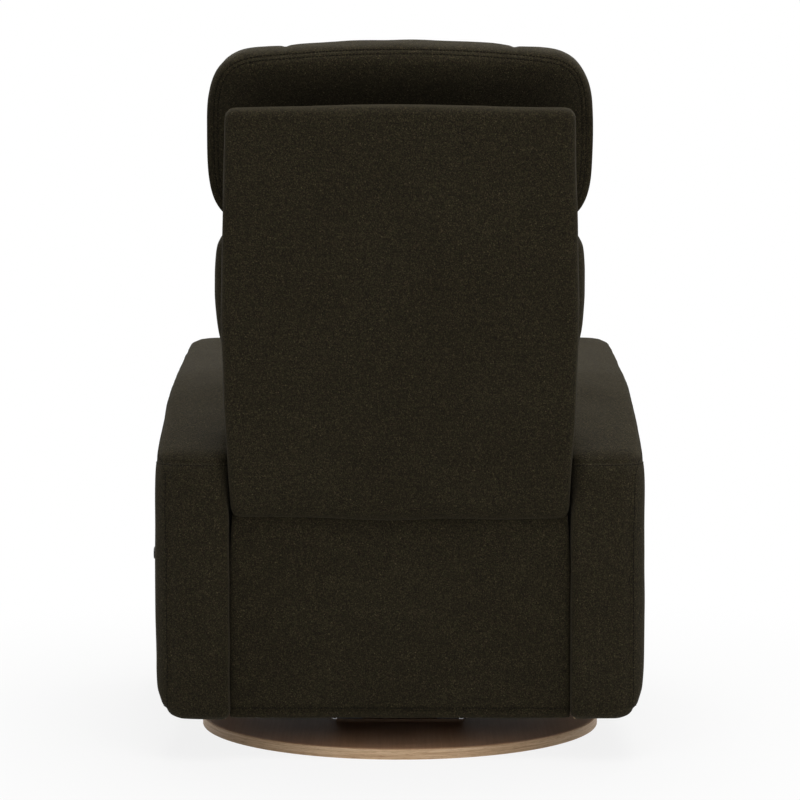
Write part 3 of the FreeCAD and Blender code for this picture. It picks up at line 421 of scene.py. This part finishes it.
def object_coords(tree, scale=(1, 1, 1)):
    place = tree.nodes.new("ShaderNodeTexCoord")
    mapping = tree.nodes.new("ShaderNodeMapping")
    mapping.inputs["Scale"].default_value = scale
    tree.links.new(place.outputs["Object"], mapping.inputs["Vector"])
    return mapping.outputs["Vector"]


def noise_node(tree, vector, scale, detail=2.0, rough=0.5):
    made = tree.nodes.new("ShaderNodeTexNoise")
    made.inputs["Scale"].default_value = scale
    made.inputs["Detail"].default_value = detail
    made.inputs["Roughness"].default_value = rough
    tree.links.new(vector, made.inputs["Vector"])
    return made.outputs["Fac"]


def cells_node(tree, vector, scale, output):
    made = tree.nodes.new("ShaderNodeTexVoronoi")
    made.inputs["Scale"].default_value = scale
    made.inputs["Randomness"].default_value = 0.75
    tree.links.new(vector, made.inputs["Vector"])
    return made.outputs[output]


def ramp(tree, value, stops):
    made = tree.nodes.new("ShaderNodeValToRGB")
    while len(made.color_ramp.elements) < len(stops):
        made.color_ramp.elements.new(0.5)
    for element, (place, colour) in zip(made.color_ramp.elements, stops):
        element.position = place
        element.color = colour
    tree.links.new(value, made.inputs["Fac"])
    return made.outputs["Color"]


def mixed(tree, how, amount, a, b):
    """Colour mix of two sockets or fixed colours."""
    made = tree.nodes.new("ShaderNodeMix")
    made.data_type = "RGBA"
    made.blend_type = how
    for index, value in ((0, amount), (6, a), (7, b)):
        if isinstance(value, bpy.types.NodeSocket):
            tree.links.new(value, made.inputs[index])
        else:
            made.inputs[index].default_value = value
    return made.outputs[2]


def math_node(tree, how, a, b):
    made = tree.nodes.new("ShaderNodeMath")
    made.operation = how
    for index, value in enumerate((a, b)):
        if isinstance(value, bpy.types.NodeSocket):
            tree.links.new(value, made.inputs[index])
        else:
            made.inputs[index].default_value = value
    return made.outputs[0]


def bump(tree, shader, height, distance, strength=1.0):
    made = tree.nodes.new("ShaderNodeBump")
    made.inputs["Strength"].default_value = strength
    made.inputs["Distance"].default_value = distance
    tree.links.new(height, made.inputs["Height"])
    tree.links.new(made.outputs["Normal"], shader.inputs["Normal"])


WEAVE = 760.0               # nubs of the weave in a metre


def upholstery_material():
    """Dark melange weave: light, olive and dark yarn in small nubs, uneven in tone."""
    material, tree, shader = node_material("upholstery")
    vector = object_coords(tree)
    speck = cells_node(tree, vector, WEAVE, "Color")
    yarn = ramp(tree, speck, [
        (0.0, linear(17, 14, 10)), (0.4, linear(37, 33, 24)), (0.72, linear(50, 46, 34)),
        (0.92, linear(70, 64, 50)), (1.0, linear(104, 96, 77)),
    ])
    olive = ramp(tree, noise_node(tree, vector, 420.0, 2.0, 0.6), [
        (0.38, linear(255, 242, 232)), (0.62, linear(242, 248, 222)),
    ])
    patch = ramp(tree, noise_node(tree, vector, 90.0, 3.0, 0.65), [
        (0.3, linear(236, 236, 236)), (0.7, linear(255, 255, 255)),
    ])
    tone = mixed(tree, "MULTIPLY", 1.0, mixed(tree, "MULTIPLY", 1.0, yarn, olive), patch)
    broad = ramp(tree, noise_node(tree, vector, 7.0, 2.0), [
        (0.3, linear(238, 236, 232)), (0.7, linear(255, 255, 255)),
    ])
    tree.links.new(mixed(tree, "MULTIPLY", 1.0, tone, broad), shader.inputs["Base Color"])
    nub = cells_node(tree, vector, WEAVE, "Distance")
    fibre = noise_node(tree, vector, 1500.0, 2.0, 0.6)
    height = math_node(tree, "SUBTRACT", math_node(tree, "MULTIPLY", fibre, 0.4), nub)
    bump(tree, shader, height, 0.0009, 0.7)
    shader.inputs["Roughness"].default_value = 0.95
    shader.inputs["Specular IOR Level"].default_value = 0.12
    shader.inputs["Sheen Weight"].default_value = 0.05
    shader.inputs["Sheen Roughness"].default_value = 0.5
    shader.inputs["Sheen Tint"].default_value = linear(214, 198, 164)
    return material


def thread_and_seam_shade_material():
    material, tree, shader = node_material("thread_and_seam_shade")
    vector = object_coords(tree)
    twist = noise_node(tree, vector, 2400.0, 1.0)
    # Thread tone: partly the thread's own dark colour, partly painted shade, made near black so the seams
    # read as dark shadow lines
    tone = ramp(tree, twist, [(0.3, linear(9, 7, 5)), (0.7, linear(20, 17, 12))])
    tree.links.new(tone, shader.inputs["Base Color"])
    shader.inputs["Roughness"].default_value = 0.95
    shader.inputs["Specular IOR Level"].default_value = 0.1
    return material


def oak_material(name, tones, pore_depth, grain_scale, pore_scale, broad_scale):
    """Oak with fine grain along the axes of least scale; tones run from dark to light."""
    material, tree, shader = node_material(name)
    grain = noise_node(tree, object_coords(tree, grain_scale), 1.0, 5.0, 0.65)
    pores = noise_node(tree, object_coords(tree, pore_scale), 1.0, 2.0, 0.7)
    broad = noise_node(tree, object_coords(tree, broad_scale), 1.0, 2.0)
    wood = ramp(tree, grain, [(place, linear(*tone)) for place, tone in zip((0.28, 0.5, 0.72), tones)])
    dark = ramp(tree, pores, [(0.36, linear(176, 146, 116)), (0.46, linear(255, 255, 255))])
    shade = ramp(tree, broad, [(0.3, linear(232, 226, 220)), (0.7, linear(255, 255, 255))])
    tone = mixed(tree, "MULTIPLY", 1.0, mixed(tree, "MULTIPLY", pore_depth, wood, dark), shade)
    tree.links.new(tone, shader.inputs["Base Color"])
    bump(tree, shader, pores, 0.0002, 0.5)
    shader.inputs["Roughness"].default_value = 0.55
    return material


def grained_material(name, dark, light, scale, rough, depth, metallic=0.0, stretch=(1, 1, 1)):
    """A hard surface with uneven tone and a fine grain."""
    material, tree, shader = node_material(name)
    vector = object_coords(tree, stretch)
    cloud = noise_node(tree, vector, scale, 4.0, 0.6)
    tone = ramp(tree, cloud, [(0.3, linear(*dark)), (0.7, linear(*light))])
    tree.links.new(tone, shader.inputs["Base Color"])
    fine = noise_node(tree, vector, scale * 6.0, 2.0)
    rough_low, rough_high = max(rough - 0.08, 0.05), min(rough + 0.08, 1.0)
    spread = ramp(tree, fine, [(0.3, (rough_low,) * 3 + (1,)), (0.7, (rough_high,) * 3 + (1,))])
    tree.links.new(spread, shader.inputs["Roughness"])
    bump(tree, shader, fine, depth, 0.5)
    shader.inputs["Metallic"].default_value = metallic
    return material


def webbing_material():
    """Woven elastic: ribs along the strap."""
    material, tree, shader = node_material("webbing")
    vector = object_coords(tree)
    ribs = cells_node(tree, object_coords(tree, (1.0, 0.35, 1.0)), 700.0, "Color")
    tone = ramp(tree, ribs, [(0.0, linear(34, 32, 30)), (1.0, linear(74, 70, 66))])
    tree.links.new(tone, shader.inputs["Base Color"])
    bump(tree, shader, noise_node(tree, vector, 1600.0, 2.0), 0.0004, 0.6)
    shader.inputs["Roughness"].default_value = 0.85
    return material


cloth_look = upholstery_material()
thread_and_seam_shade_look = thread_and_seam_shade_material()
looks = {
    "upholstery": cloth_look,
    "oak_edge": oak_material(
        "oak_edge", ((188, 153, 116), (220, 188, 151), (236, 209, 175)), pore_depth=0.55,
        grain_scale=(9, 9, 520), pore_scale=(60, 60, 1500), broad_scale=(3, 3, 40)),
    "oak_veneer": oak_material(
        "oak_veneer", ((164, 127, 97), (174, 136, 105), (182, 144, 113)), pore_depth=0.15,
        grain_scale=(240, 6, 1), pore_scale=(900, 40, 1), broad_scale=(14, 2, 1)),
    "plywood": grained_material(
        "plywood", (176, 142, 100), (214, 182, 140), scale=14.0, rough=0.7, depth=0.0003, stretch=(1, 1, 9)),
    "webbing": webbing_material(),
    "nylon": grained_material(
        "nylon", (206, 202, 190), (226, 223, 212), scale=60.0, rough=0.45, depth=0.00005),
    "rubber": grained_material(
        "rubber", (24, 24, 24), (36, 36, 36), scale=90.0, rough=0.8, depth=0.0002),
    "black_plastic": grained_material(
        "black_plastic", (20, 20, 20), (30, 30, 30), scale=260.0, rough=0.5, depth=0.0002),
    "zinc_steel": grained_material(
        "zinc_steel", (150, 151, 154), (186, 187, 190), scale=120.0, rough=0.35, depth=0.00005, metallic=1.0),
    "bronze_steel": grained_material(
        "bronze_steel", (120, 94, 72), (142, 112, 87), scale=300.0, rough=0.6, depth=0.0002),
    "black_steel": grained_material(
        "black_steel", (22, 22, 23), (34, 34, 35), scale=300.0, rough=0.5, depth=0.0002),
}
for part in frame["record"]["subparts"]:
    node_mesh = nodes[part["node"]].data
    node_mesh.materials.clear()
    node_mesh.materials.append(looks[part["material_slot"]])


# Covers

PIN_FADE = 1.6              # a pin's weight is gone at this many reaches from its line
DOUBLE_ROW = 0.0045         # from a seam to the stitches on each side, the head pillow's apart


def dress(obj, body, frame_of, *replaced, fill=None):
    """Puts a finished cover in place of its CAD nodes and gives it its cloth.

    fill is how full a pad is, and is not used. A cover with no body is left unattached.
    """
    obj.data.transform(frame_of)
    smooth_faces(obj)
    obj.data.materials.clear()
    obj.data.materials.append(cloth_look)
    if body is not None:
        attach(obj, body)
    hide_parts(*replaced)


def dress_thread(obj, body, frame_of):
    obj.data.transform(frame_of)
    smooth_faces(obj)
    obj.data.materials.append(thread_and_seam_shade_look)
    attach(obj, body)


def near_lines(obj, lines, reach):
    """Pin weight that is 1 on some lines and fades over a reach."""
    held = np.zeros(len(obj.data.vertices))
    for points in lines:
        held = np.maximum(held, np.clip(PIN_FADE - distance_to(obj, points) / reach, 0, 1))
    return held


def hold(held, where, weight=1.0):
    """Raises the pin weight where a condition is true."""
    return np.maximum(held, np.where(where, weight, 0.0))


def side_rows(obj, axis, side, depth, spread):
    """Two rows of stitches, one on each side of a seam on a face."""
    return [face_loop(obj, axis, side, depth - spread), face_loop(obj, axis, side, depth + spread)]


HEAD_SEAM = 0.0135          # the head pillow's gusset seam, inside its outline
HEAD_ROW = 0.003            # from that seam to the stitches on each side
HEAD_REAR = 0.03            # depth of the rear that swells less
HEAD_SIDES = np.array((0.002, 0, 0))
HEAD_CROWN = np.array((0, 0, 0.0015))
HEAD_RECESS = 0.054         # how far the pillow's rear curves in below its top
HEAD_RECESS_START = 0.022   # where that starts below the top
HEAD_RECESS_RUN = 0.105     # and the height over which it comes in
HEAD_PIN_ARC = (100, 270)
HEAD_SEAM_ARC = (68, 285)
HEAD_CHANNEL_ARC = (100, 275)


def head_cushion():
    """Head pillow: three channels over front and top, and a double-stitched seam inside both outlines."""
    obj, low, high = skin("head_cushion", ["headrest_cushion"], frame_of=LEANED)
    middle = (low + high) / 2
    channels = [slice_line(obj, X, x, HEAD_PIN_ARC, middle)[0] for x in CHANNELS]
    loops = [face_loop(obj, Y, side, HEAD_SEAM)[0] for side in (-1, 1)]
    held = np.maximum(near_lines(obj, channels, reach=0.007), 0.5 * near_lines(obj, loops, reach=0.006))
    places = coords(obj.data)
    held = hold(held, places[:, Y] > high[Y] - HEAD_REAR, weight=0.3)
    inflate(obj, held, cap=0.014)
    fit(obj, low - HEAD_SIDES, high + HEAD_SIDES + HEAD_CROWN)
    places = coords(obj.data)
    rear = np.clip((places[:, Y] - middle[Y]) / (high[Y] - middle[Y]), 0, 1)
    down = np.clip((high[Z] - HEAD_RECESS_START - places[:, Z]) / HEAD_RECESS_RUN, 0, 1)
    places[:, Y] -= HEAD_RECESS * rear * down * down * (3 - 2 * down)
    set_coords(obj.data, places)
    subdivide(obj)
    for x in CHANNELS:
        sew(obj, slice_line(obj, X, x, HEAD_SEAM_ARC, middle)[0], depth=0.003, width=0.0045)
        sew(obj, slice_line(obj, X, x, HEAD_CHANNEL_ARC, middle)[0], depth=0.006, width=0.006)
    rows = side_rows(obj, Y, 1, HEAD_SEAM, HEAD_ROW) + side_rows(obj, Y, -1, HEAD_SEAM, HEAD_ROW)
    for points, _ in rows:
        sew(obj, points, depth=0.002, width=0.002)
    ripple(obj, size=0.05, height=0.0012, seed=1)
    rows = side_rows(obj, Y, 1, HEAD_SEAM, HEAD_ROW) + side_rows(obj, Y, -1, HEAD_SEAM, HEAD_ROW)
    threads = stitch_mesh("head_stitches", rows)
    dress(obj, "headrest", LEANED, "headrest_cushion", fill=0.75)
    dress_thread(threads, "headrest", LEANED)


BACK_REAR = 0.02            # depth of the rear that lies on the back board
BACK_SIDE_X = 0.243         # past this, the sides swell less
BACK_BULGE = np.array((0, 0.006, 0))
BACK_PIN_ARC = (100, 260)
BACK_CHANNEL_ARC = (95, 265)


def back_cushion():
    """Back cushion: swells beside the outside back, in three channels on its front."""
    obj, low, high = skin("back_cushion_cover", ["back_cushion"], BROAD_VOXEL, hull=False, frame_of=LEANED)
    middle = (low + high) / 2
    places = coords(obj.data)
    channels = [slice_line(obj, X, x, BACK_PIN_ARC, middle)[0] for x in CHANNELS]
    held = near_lines(obj, channels, reach=0.007)
    held = hold(held, places[:, Y] > high[Y] - BACK_REAR)
    held = hold(held, np.abs(places[:, X]) > BACK_SIDE_X, weight=0.4)
    inflate(obj, held, cap=0.024)
    fit(obj, low - BACK_BULGE, high)
    subdivide(obj)
    for x in CHANNELS:
        sew(obj, slice_line(obj, X, x, BACK_CHANNEL_ARC, middle)[0], depth=0.011, width=0.006)
    ripple(obj, size=0.06, height=0.0014, seed=2)
    row_places = [x + shift for x in CHANNELS for shift in (-DOUBLE_ROW, DOUBLE_ROW)]
    rows = [slice_line(obj, X, x, BACK_PIN_ARC, middle) for x in row_places]
    threads = stitch_mesh("back_cushion_stitches", rows)
    dress(obj, "back", LEANED, "back_cushion", fill=0.7)
    dress_thread(threads, "back", LEANED)


OUTSIDE_FACE = 0.006        # depth of the outside back's face that swells
OUTSIDE_SIDES = np.array((0.003, 0, 0))
OUTSIDE_BULGE = np.array((0, 0.004, 0))
FOOT_ROLL = 0.032           # height over which the outside back's foot rolls under
FOOT_TUCK = 0.013           # how far it rolls in
FOOT_WAVE = 0.005           # how uneven the crease is
FOOT_WAVES = 7.0            # how many waves it has in a metre
FOOT_NOISE = (0.4, 2.0)     # where the noise that shapes them is read


def outside_back():
    """Outside back: a lightly padded panel whose foot rolls into an uneven crease."""
    obj, low, high = skin("outside_back_cover", ["outside_back"], frame_of=LEANED, rounds=1)
    places = coords(obj.data)
    held = np.where(places[:, Y] < high[Y] - OUTSIDE_FACE, 1.0, 0.5)
    inflate(obj, held, cap=0.006)
    fit(obj, low - OUTSIDE_SIDES, high + OUTSIDE_SIDES + OUTSIDE_BULGE)
    subdivide(obj)
    places = coords(obj.data)
    wave = np.array([noise.noise(Vector((p[X] * FOOT_WAVES, *FOOT_NOISE))) for p in places])
    near_foot = np.clip(1 - (places[:, Z] - low[Z]) / FOOT_ROLL, 0, 1)
    behind = np.clip((places[:, Y] - low[Y]) / (high[Y] - low[Y]), 0, 1)
    places[:, Y] -= FOOT_TUCK * (1 - np.sqrt(1 - near_foot ** 2)) * behind
    places[:, Z] += FOOT_WAVE * wave * near_foot
    set_coords(obj.data, places)
    ripple(obj, size=0.09, height=0.0012, seed=3)
    dress(obj, "back", LEANED, "outside_back", fill=0.5)


SEAT_SEAM = 0.018           # inside the outline of the seat's top
SEAT_FOOT = 0.012           # height of the seat's bottom, which doesn't swell


def seat_cushion():
    """Seat: crowned top, rolled front, boxed sides."""
    obj, low, high = skin("seat_cushion_cover", ["seat_cushion"], SEAT_VOXEL)
    loop = face_loop(obj, Z, 1, SEAT_SEAM)[0]
    places = coords(obj.data)
    held = near_lines(obj, [loop], reach=0.007)
    held = hold(held, places[:, Z] < low[Z] + SEAT_FOOT)
    inflate(obj, held, cap=0.024)
    fit(obj, low, high)
    subdivide(obj)
    sew(obj, face_loop(obj, Z, 1, SEAT_SEAM)[0], depth=0.005, width=0.004)
    ripple(obj, size=0.07, height=0.0015, seed=4)
    threads = stitch_mesh("seat_stitches", side_rows(obj, Z, 1, SEAT_SEAM, DOUBLE_ROW))
    dress(obj, "chair", UPRIGHT, "seat_cushion", fill=0.7)
    dress_thread(threads, "chair", UPRIGHT)


FOOTREST_SEAM = 0.022       # inside the outline of the footrest pad's face
FOOTREST_REAR = 0.006       # depth of its rear, which lies on the board


def footrest_pad():
    """Footrest pad with a seam inside its front outline."""
    obj, low, high = skin("footrest_cover", ["footrest_pad"])
    loop = face_loop(obj, Y, -1, FOOTREST_SEAM)[0]
    places = coords(obj.data)
    held = near_lines(obj, [loop], reach=0.006)
    held = hold(held, places[:, Y] > high[Y] - FOOTREST_REAR)
    inflate(obj, held, cap=0.012)
    fit(obj, low, high)
    subdivide(obj)
    sew(obj, face_loop(obj, Y, -1, FOOTREST_SEAM)[0], depth=0.004, width=0.0035)
    ripple(obj, size=0.06, height=0.001, seed=5)
    threads = stitch_mesh("footrest_stitches", side_rows(obj, Y, -1, FOOTREST_SEAM, DOUBLE_ROW))
    dress(obj, "footrest", UPRIGHT, "footrest_pad", fill=0.6)
    dress_thread(threads, "footrest", UPRIGHT)


ARM_INSIDE = 0.012          # thickness of the arm's inner side, which doesn't swell
ARM_FOOT = 0.02             # and height of its bottom, which doesn't either
ARM_SWELL = 0.002           # how far its outer side stands past the solid
ARM_REAR = 0.12             # depth of its rear part
ARM_REAR_ARC = (35, 145)
ARM_SEAM_Z = 0.444          # seam across the arm's rear
ARM_SIDE_SEAM = 0.014       # seam inside the outline of its outer face
ARM_SWEEP = 0.018           # how far the rear draws forward toward the outer side
ARM_SWEEP_CURVE = 1.5
ARM_CORNER = 0.021          # how far the rear's inner edge draws outward at the seam across it
ARM_CORNER_DROP = 0.075     # height below that seam over which it does
ARM_CORNER_DEPTH = 0.028    # how far forward of the rear that reaches
ARM_CORNER_WIDTH = 0.05     # and how far across


def arm(side, node):
    """Arm: padded over its core, with a seam across its rear and one round its outer face."""
    obj, low, high = skin(node + "_cover", [node], BROAD_VOXEL, rounds=2)
    inner_x = low[X] if side > 0 else high[X]
    places = coords(obj.data)
    held = np.where(np.abs(places[:, X] - inner_x) < ARM_INSIDE, 1.0, 0.3)
    held = hold(held, places[:, Z] < low[Z] + ARM_FOOT)
    inflate(obj, held, cap=0.009)
    swell = np.array((ARM_SWELL * side, 0, 0))
    fit(obj, low + np.minimum(swell, 0), high + np.maximum(swell, 0))
    places = coords(obj.data)
    from_inside = np.abs(places[:, X] - inner_x)
    outward = from_inside / (high[X] - low[X])
    across = np.clip(1 - from_inside / ARM_CORNER_WIDTH, 0, 1)
    rise = np.clip(1 + (places[:, Z] - ARM_SEAM_Z) / ARM_CORNER_DROP, 0, 1)
    edge = np.clip(1 + (places[:, Y] - high[Y]) / ARM_CORNER_DEPTH, 0, 1)
    places[:, X] += side * ARM_CORNER * across * rise * edge
    rear = np.clip((places[:, Y] - high[Y] + ARM_REAR) / ARM_REAR, 0, 1)
    places[:, Y] -= ARM_SWEEP * outward ** ARM_SWEEP_CURVE * rear
    set_coords(obj.data, places)
    subdivide(obj)
    centre = np.array(((low[X] + high[X]) / 2, high[Y] - ARM_REAR, 0))
    sew(obj, slice_line(obj, Z, ARM_SEAM_Z, ARM_REAR_ARC, centre)[0], depth=0.0022, width=0.003)
    sew(obj, face_loop(obj, X, side, ARM_SIDE_SEAM)[0], depth=0.0018, width=0.003)
    ripple(obj, size=0.07, height=0.0012, seed=6)
    across_rear = slice_line(obj, Z, ARM_SEAM_Z - DOUBLE_ROW, ARM_REAR_ARC, centre)
    round_face = face_loop(obj, X, side, ARM_SIDE_SEAM + DOUBLE_ROW)
    threads = stitch_mesh(node + "_stitches", [across_rear, round_face])
    dress(obj, "chair", UPRIGHT, node, fill=0.6)
    dress_thread(threads, "chair", UPRIGHT)


LOWER_FACE = 0.012          # depth of the lower panel's face that swells
LOWER_SIDES = np.array((0.0015, 0, 0))
HEM_RISE = 0.012            # from the lower panel's bottom to its hem's seam
HEM_LIFT = 0.0002           # how far the hem's stitches stand off the cloth
CREASE_TUCK = 0.022         # how far the lower panel's cloth rises behind the outside back
BEHIND = 1.0                # a place clear of the chair's rear


def lower_back():
    """Lower back: one cloth-covered panel from its stitched hem up into the crease under the outside back."""
    obj, low, high = skin("lower_back_cover", ["lower_back_panel", "tail_flap"])
    places = coords(obj.data)
    held = np.where(places[:, Y] < high[Y] - LOWER_FACE, 1.0, 0.3)
    inflate(obj, held, cap=0.006)
    fit(obj, low - LOWER_SIDES, high + LOWER_SIDES)
    subdivide(obj)
    flap_low, flap_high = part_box("tail_flap")
    places = coords(obj.data)
    rise = np.clip((places[:, Z] - flap_low.z) / (flap_high.z - flap_low.z), 0, 1)
    places[:, Z] += CREASE_TUCK * rise
    set_coords(obj.data, places)
    tree = tree_of(obj)
    columns = np.arange(low[X], high[X], SEAM_STEP)
    hits = [cast(tree, (x, BEHIND, low[Z] + HEM_RISE), (0, -1, 0)) for x in columns]
    hem = np.array([hit[0] for hit in hits if hit])
    sew(obj, hem, depth=0.003, width=0.0025)
    ripple(obj, size=0.08, height=0.0014, seed=7)
    row = hem + np.array((0, HEM_LIFT, DOUBLE_ROW))
    threads = stitch_mesh("hem_stitches", [(row, np.tile((0.0, 1.0, 0.0), (len(row), 1)))])
    dress_thread(threads, "chair", UPRIGHT)
    dress(obj, None, UPRIGHT, "lower_back_panel", "tail_flap", fill=0.4)
    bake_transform(obj)


def wrapped_board(node, body, frame_of=UPRIGHT):
    """A board covered in cloth, with softened edges."""
    obj, _, _ = skin(node + "_cloth", [node], frame_of=frame_of, rounds=1)
    subdivide(obj)
    dress(obj, body, frame_of, node)


def rock_springs(node):
    """Coil springs between the turning stand and the rocking chair, shown as a fixed copy of their CAD mesh.
    """
    obj = new_object(node + "_coils", nodes[node].data.copy())
    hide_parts(node)
    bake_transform(obj)


APRON_HALF = 0.165          # half width of the cloth apron under the seat front rail
APRON_EDGE = 0.012          # width over which it comes down at its ends
APRON_DROP = 0.05


def front_rail():
    """Seat front rail wrapped in cloth, with an apron that closes the view under the seat."""
    obj, low, high = skin("seat_front_rail_cloth", ["seat_front_rail"], rounds=1)
    subdivide(obj)
    places = coords(obj.data)
    across = np.clip((APRON_HALF - np.abs(places[:, X])) / APRON_EDGE, 0, 1)
    under = np.clip(1 - (places[:, Z] - low[Z]) / (high[Z] - low[Z]), 0, 1)
    places[:, Z] -= APRON_DROP * across * under
    set_coords(obj.data, places)
    dress(obj, "chair", UPRIGHT, "seat_front_rail")


STAPLE_X = (0.0965, -0.0906)
STAPLE_HALF = 0.0026        # half the width of a staple
STAPLE_WIRE = 0.0005        # radius of its wire
STAPLE_LEG = 0.003          # how far its legs reach into the panel
STAPLE_INSET = 0.006        # from the panel's rear face


def staples():
    """Two upholstery staples under the lower panel's hem."""
    low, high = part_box("lower_back_panel")
    shape = ((-1, STAPLE_LEG), (-1, -STAPLE_WIRE), (1, -STAPLE_WIRE), (1, STAPLE_LEG))
    for index, x in enumerate(STAPLE_X):
        wire = bpy.data.curves.new(f"staple_{index}", "CURVE")
        wire.dimensions = "3D"
        wire.bevel_depth = STAPLE_WIRE
        wire.bevel_resolution = 2
        line = wire.splines.new("POLY")
        line.points.add(len(shape) - 1)
        for point, (along, up) in zip(line.points, shape):
            point.co = (x + along * STAPLE_HALF, high.y - STAPLE_INSET, low.z + up, 1)
        obj = new_object(f"staple_{index}", wire)
        wire.materials.append(looks["zinc_steel"])
        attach(obj, "chair")


head_cushion()
back_cushion()
outside_back()
seat_cushion()
footrest_pad()
arm(1, "arm_left")
arm(-1, "arm_right")
lower_back()
wrapped_board("back_board", "back", LEANED)
wrapped_board("footrest_board", "footrest")
wrapped_board("seat_rail_left", "chair")
wrapped_board("seat_rail_right", "chair")
front_rail()
staples()
rock_springs("rock_springs_front")
rock_springs("rock_springs_rear")


# Floor, light and camera

def camera_rays(tree):
    """1 for rays that show the background to the camera, directly, mirrored or through glass."""
    path = tree.nodes.new("ShaderNodeLightPath")
    seen = math_node(tree, "MAXIMUM", path.outputs["Is Camera Ray"], path.outputs["Is Glossy Ray"])
    return math_node(tree, "MAXIMUM", seen, path.outputs["Is Transmission Ray"])


FLOOR_RADIUS = 7.0
FLOOR_GLOW = 0.85           # share of plain white in the floor near the chair
FLOOR_NEAR, FLOOR_FAR = 0.4, 1.5    # distances between which that share grows to 1
AMBIENT = 0.22
LIGHTS = (                  # name, place, target, size in metres, power in watts
    ("overhead_front", (-0.25, -0.7, 3.0), (0, 0, 0.6), 2.2, 46.0),
    ("overhead_rear", (-0.2, 1.4, 3.0), (0, 0, 0.6), 2.0, 38.0),
    ("rear", (-0.9, 3.4, 1.9), (0, 0.2, 0.6), 2.0, 24.0),
    ("side", (-3.0, 0.6, 1.2), (0, 0.2, 0.6), 1.6, 4.0),
    ("front", (0.9, -3.6, 1.8), (0, -0.2, 0.6), 2.0, 16.0),
)


def floor():
    """Pale floor that keeps the chair's shadow and fades to white far away."""
    mesh = bpy.data.meshes.new("floor")
    shape = bmesh.new()
    bmesh.ops.create_circle(shape, cap_ends=True, radius=FLOOR_RADIUS, segments=96)
    shape.to_mesh(mesh)
    shape.free()
    obj = new_object("floor", mesh)
    material = bpy.data.materials.new("floor")
    material.use_nodes = True
    tree = material.node_tree
    tree.nodes.clear()
    plain = tree.nodes.new("ShaderNodeBsdfDiffuse")
    plain.inputs["Color"].default_value = (0.86, 0.86, 0.85, 1)
    glow = tree.nodes.new("ShaderNodeEmission")
    glow.inputs["Color"].default_value = (1, 1, 1, 1)
    length = tree.nodes.new("ShaderNodeVectorMath")
    length.operation = "LENGTH"
    tree.links.new(object_coords(tree), length.inputs[0])
    reach = tree.nodes.new("ShaderNodeMapRange")
    reach.interpolation_type = "SMOOTHSTEP"
    reach.inputs["From Min"].default_value = FLOOR_NEAR
    reach.inputs["From Max"].default_value = FLOOR_FAR
    reach.inputs["To Min"].default_value = FLOOR_GLOW
    reach.inputs["To Max"].default_value = 1.0
    tree.links.new(length.outputs["Value"], reach.inputs["Value"])
    blend = tree.nodes.new("ShaderNodeMixShader")
    share = math_node(tree, "MULTIPLY", reach.outputs["Result"], camera_rays(tree))
    tree.links.new(share, blend.inputs[0])
    tree.links.new(plain.outputs[0], blend.inputs[1])
    tree.links.new(glow.outputs[0], blend.inputs[2])
    out = tree.nodes.new("ShaderNodeOutputMaterial")
    tree.links.new(blend.outputs[0], out.inputs["Surface"])
    mesh.materials.append(material)


def world():
    """Even soft light, and plain white where the camera looks past the chair."""
    made = bpy.data.worlds.new("studio")
    made.use_nodes = True
    tree = made.node_tree
    tree.nodes.clear()
    light = tree.nodes.new("ShaderNodeBackground")
    light.inputs["Strength"].default_value = AMBIENT
    white = tree.nodes.new("ShaderNodeBackground")
    white.inputs["Strength"].default_value = 1.0
    for shade in (light, white):
        shade.inputs["Color"].default_value = (1, 1, 1, 1)
    blend = tree.nodes.new("ShaderNodeMixShader")
    tree.links.new(camera_rays(tree), blend.inputs[0])
    tree.links.new(light.outputs[0], blend.inputs[1])
    tree.links.new(white.outputs[0], blend.inputs[2])
    out = tree.nodes.new("ShaderNodeOutputWorld")
    tree.links.new(blend.outputs[0], out.inputs["Surface"])
    bpy.context.scene.world = made


def softbox(name, place, target, size, power):
    lamp = bpy.data.lights.new(name, "AREA")
    lamp.shape = "SQUARE"
    lamp.size = size
    lamp.energy = power
    obj = new_object(name, lamp)
    obj.location = place
    toward = Vector(target) - Vector(place)
    obj.rotation_euler = toward.to_track_quat("-Z", "Y").to_euler()


def camera():
    data = bpy.data.cameras.new("camera")
    data.sensor_width = SENSOR
    data.lens = LENS
    obj = new_object("camera", data)
    obj.location = CAMERA_PLACE
    obj.rotation_euler = (math.radians(90 - CAMERA_DOWN), 0, math.radians(180))
    bpy.context.scene.camera = obj


floor()
world()
for light in LIGHTS:
    softbox(*light)
camera()
bpy.context.scene.view_settings.view_transform = "Standard"
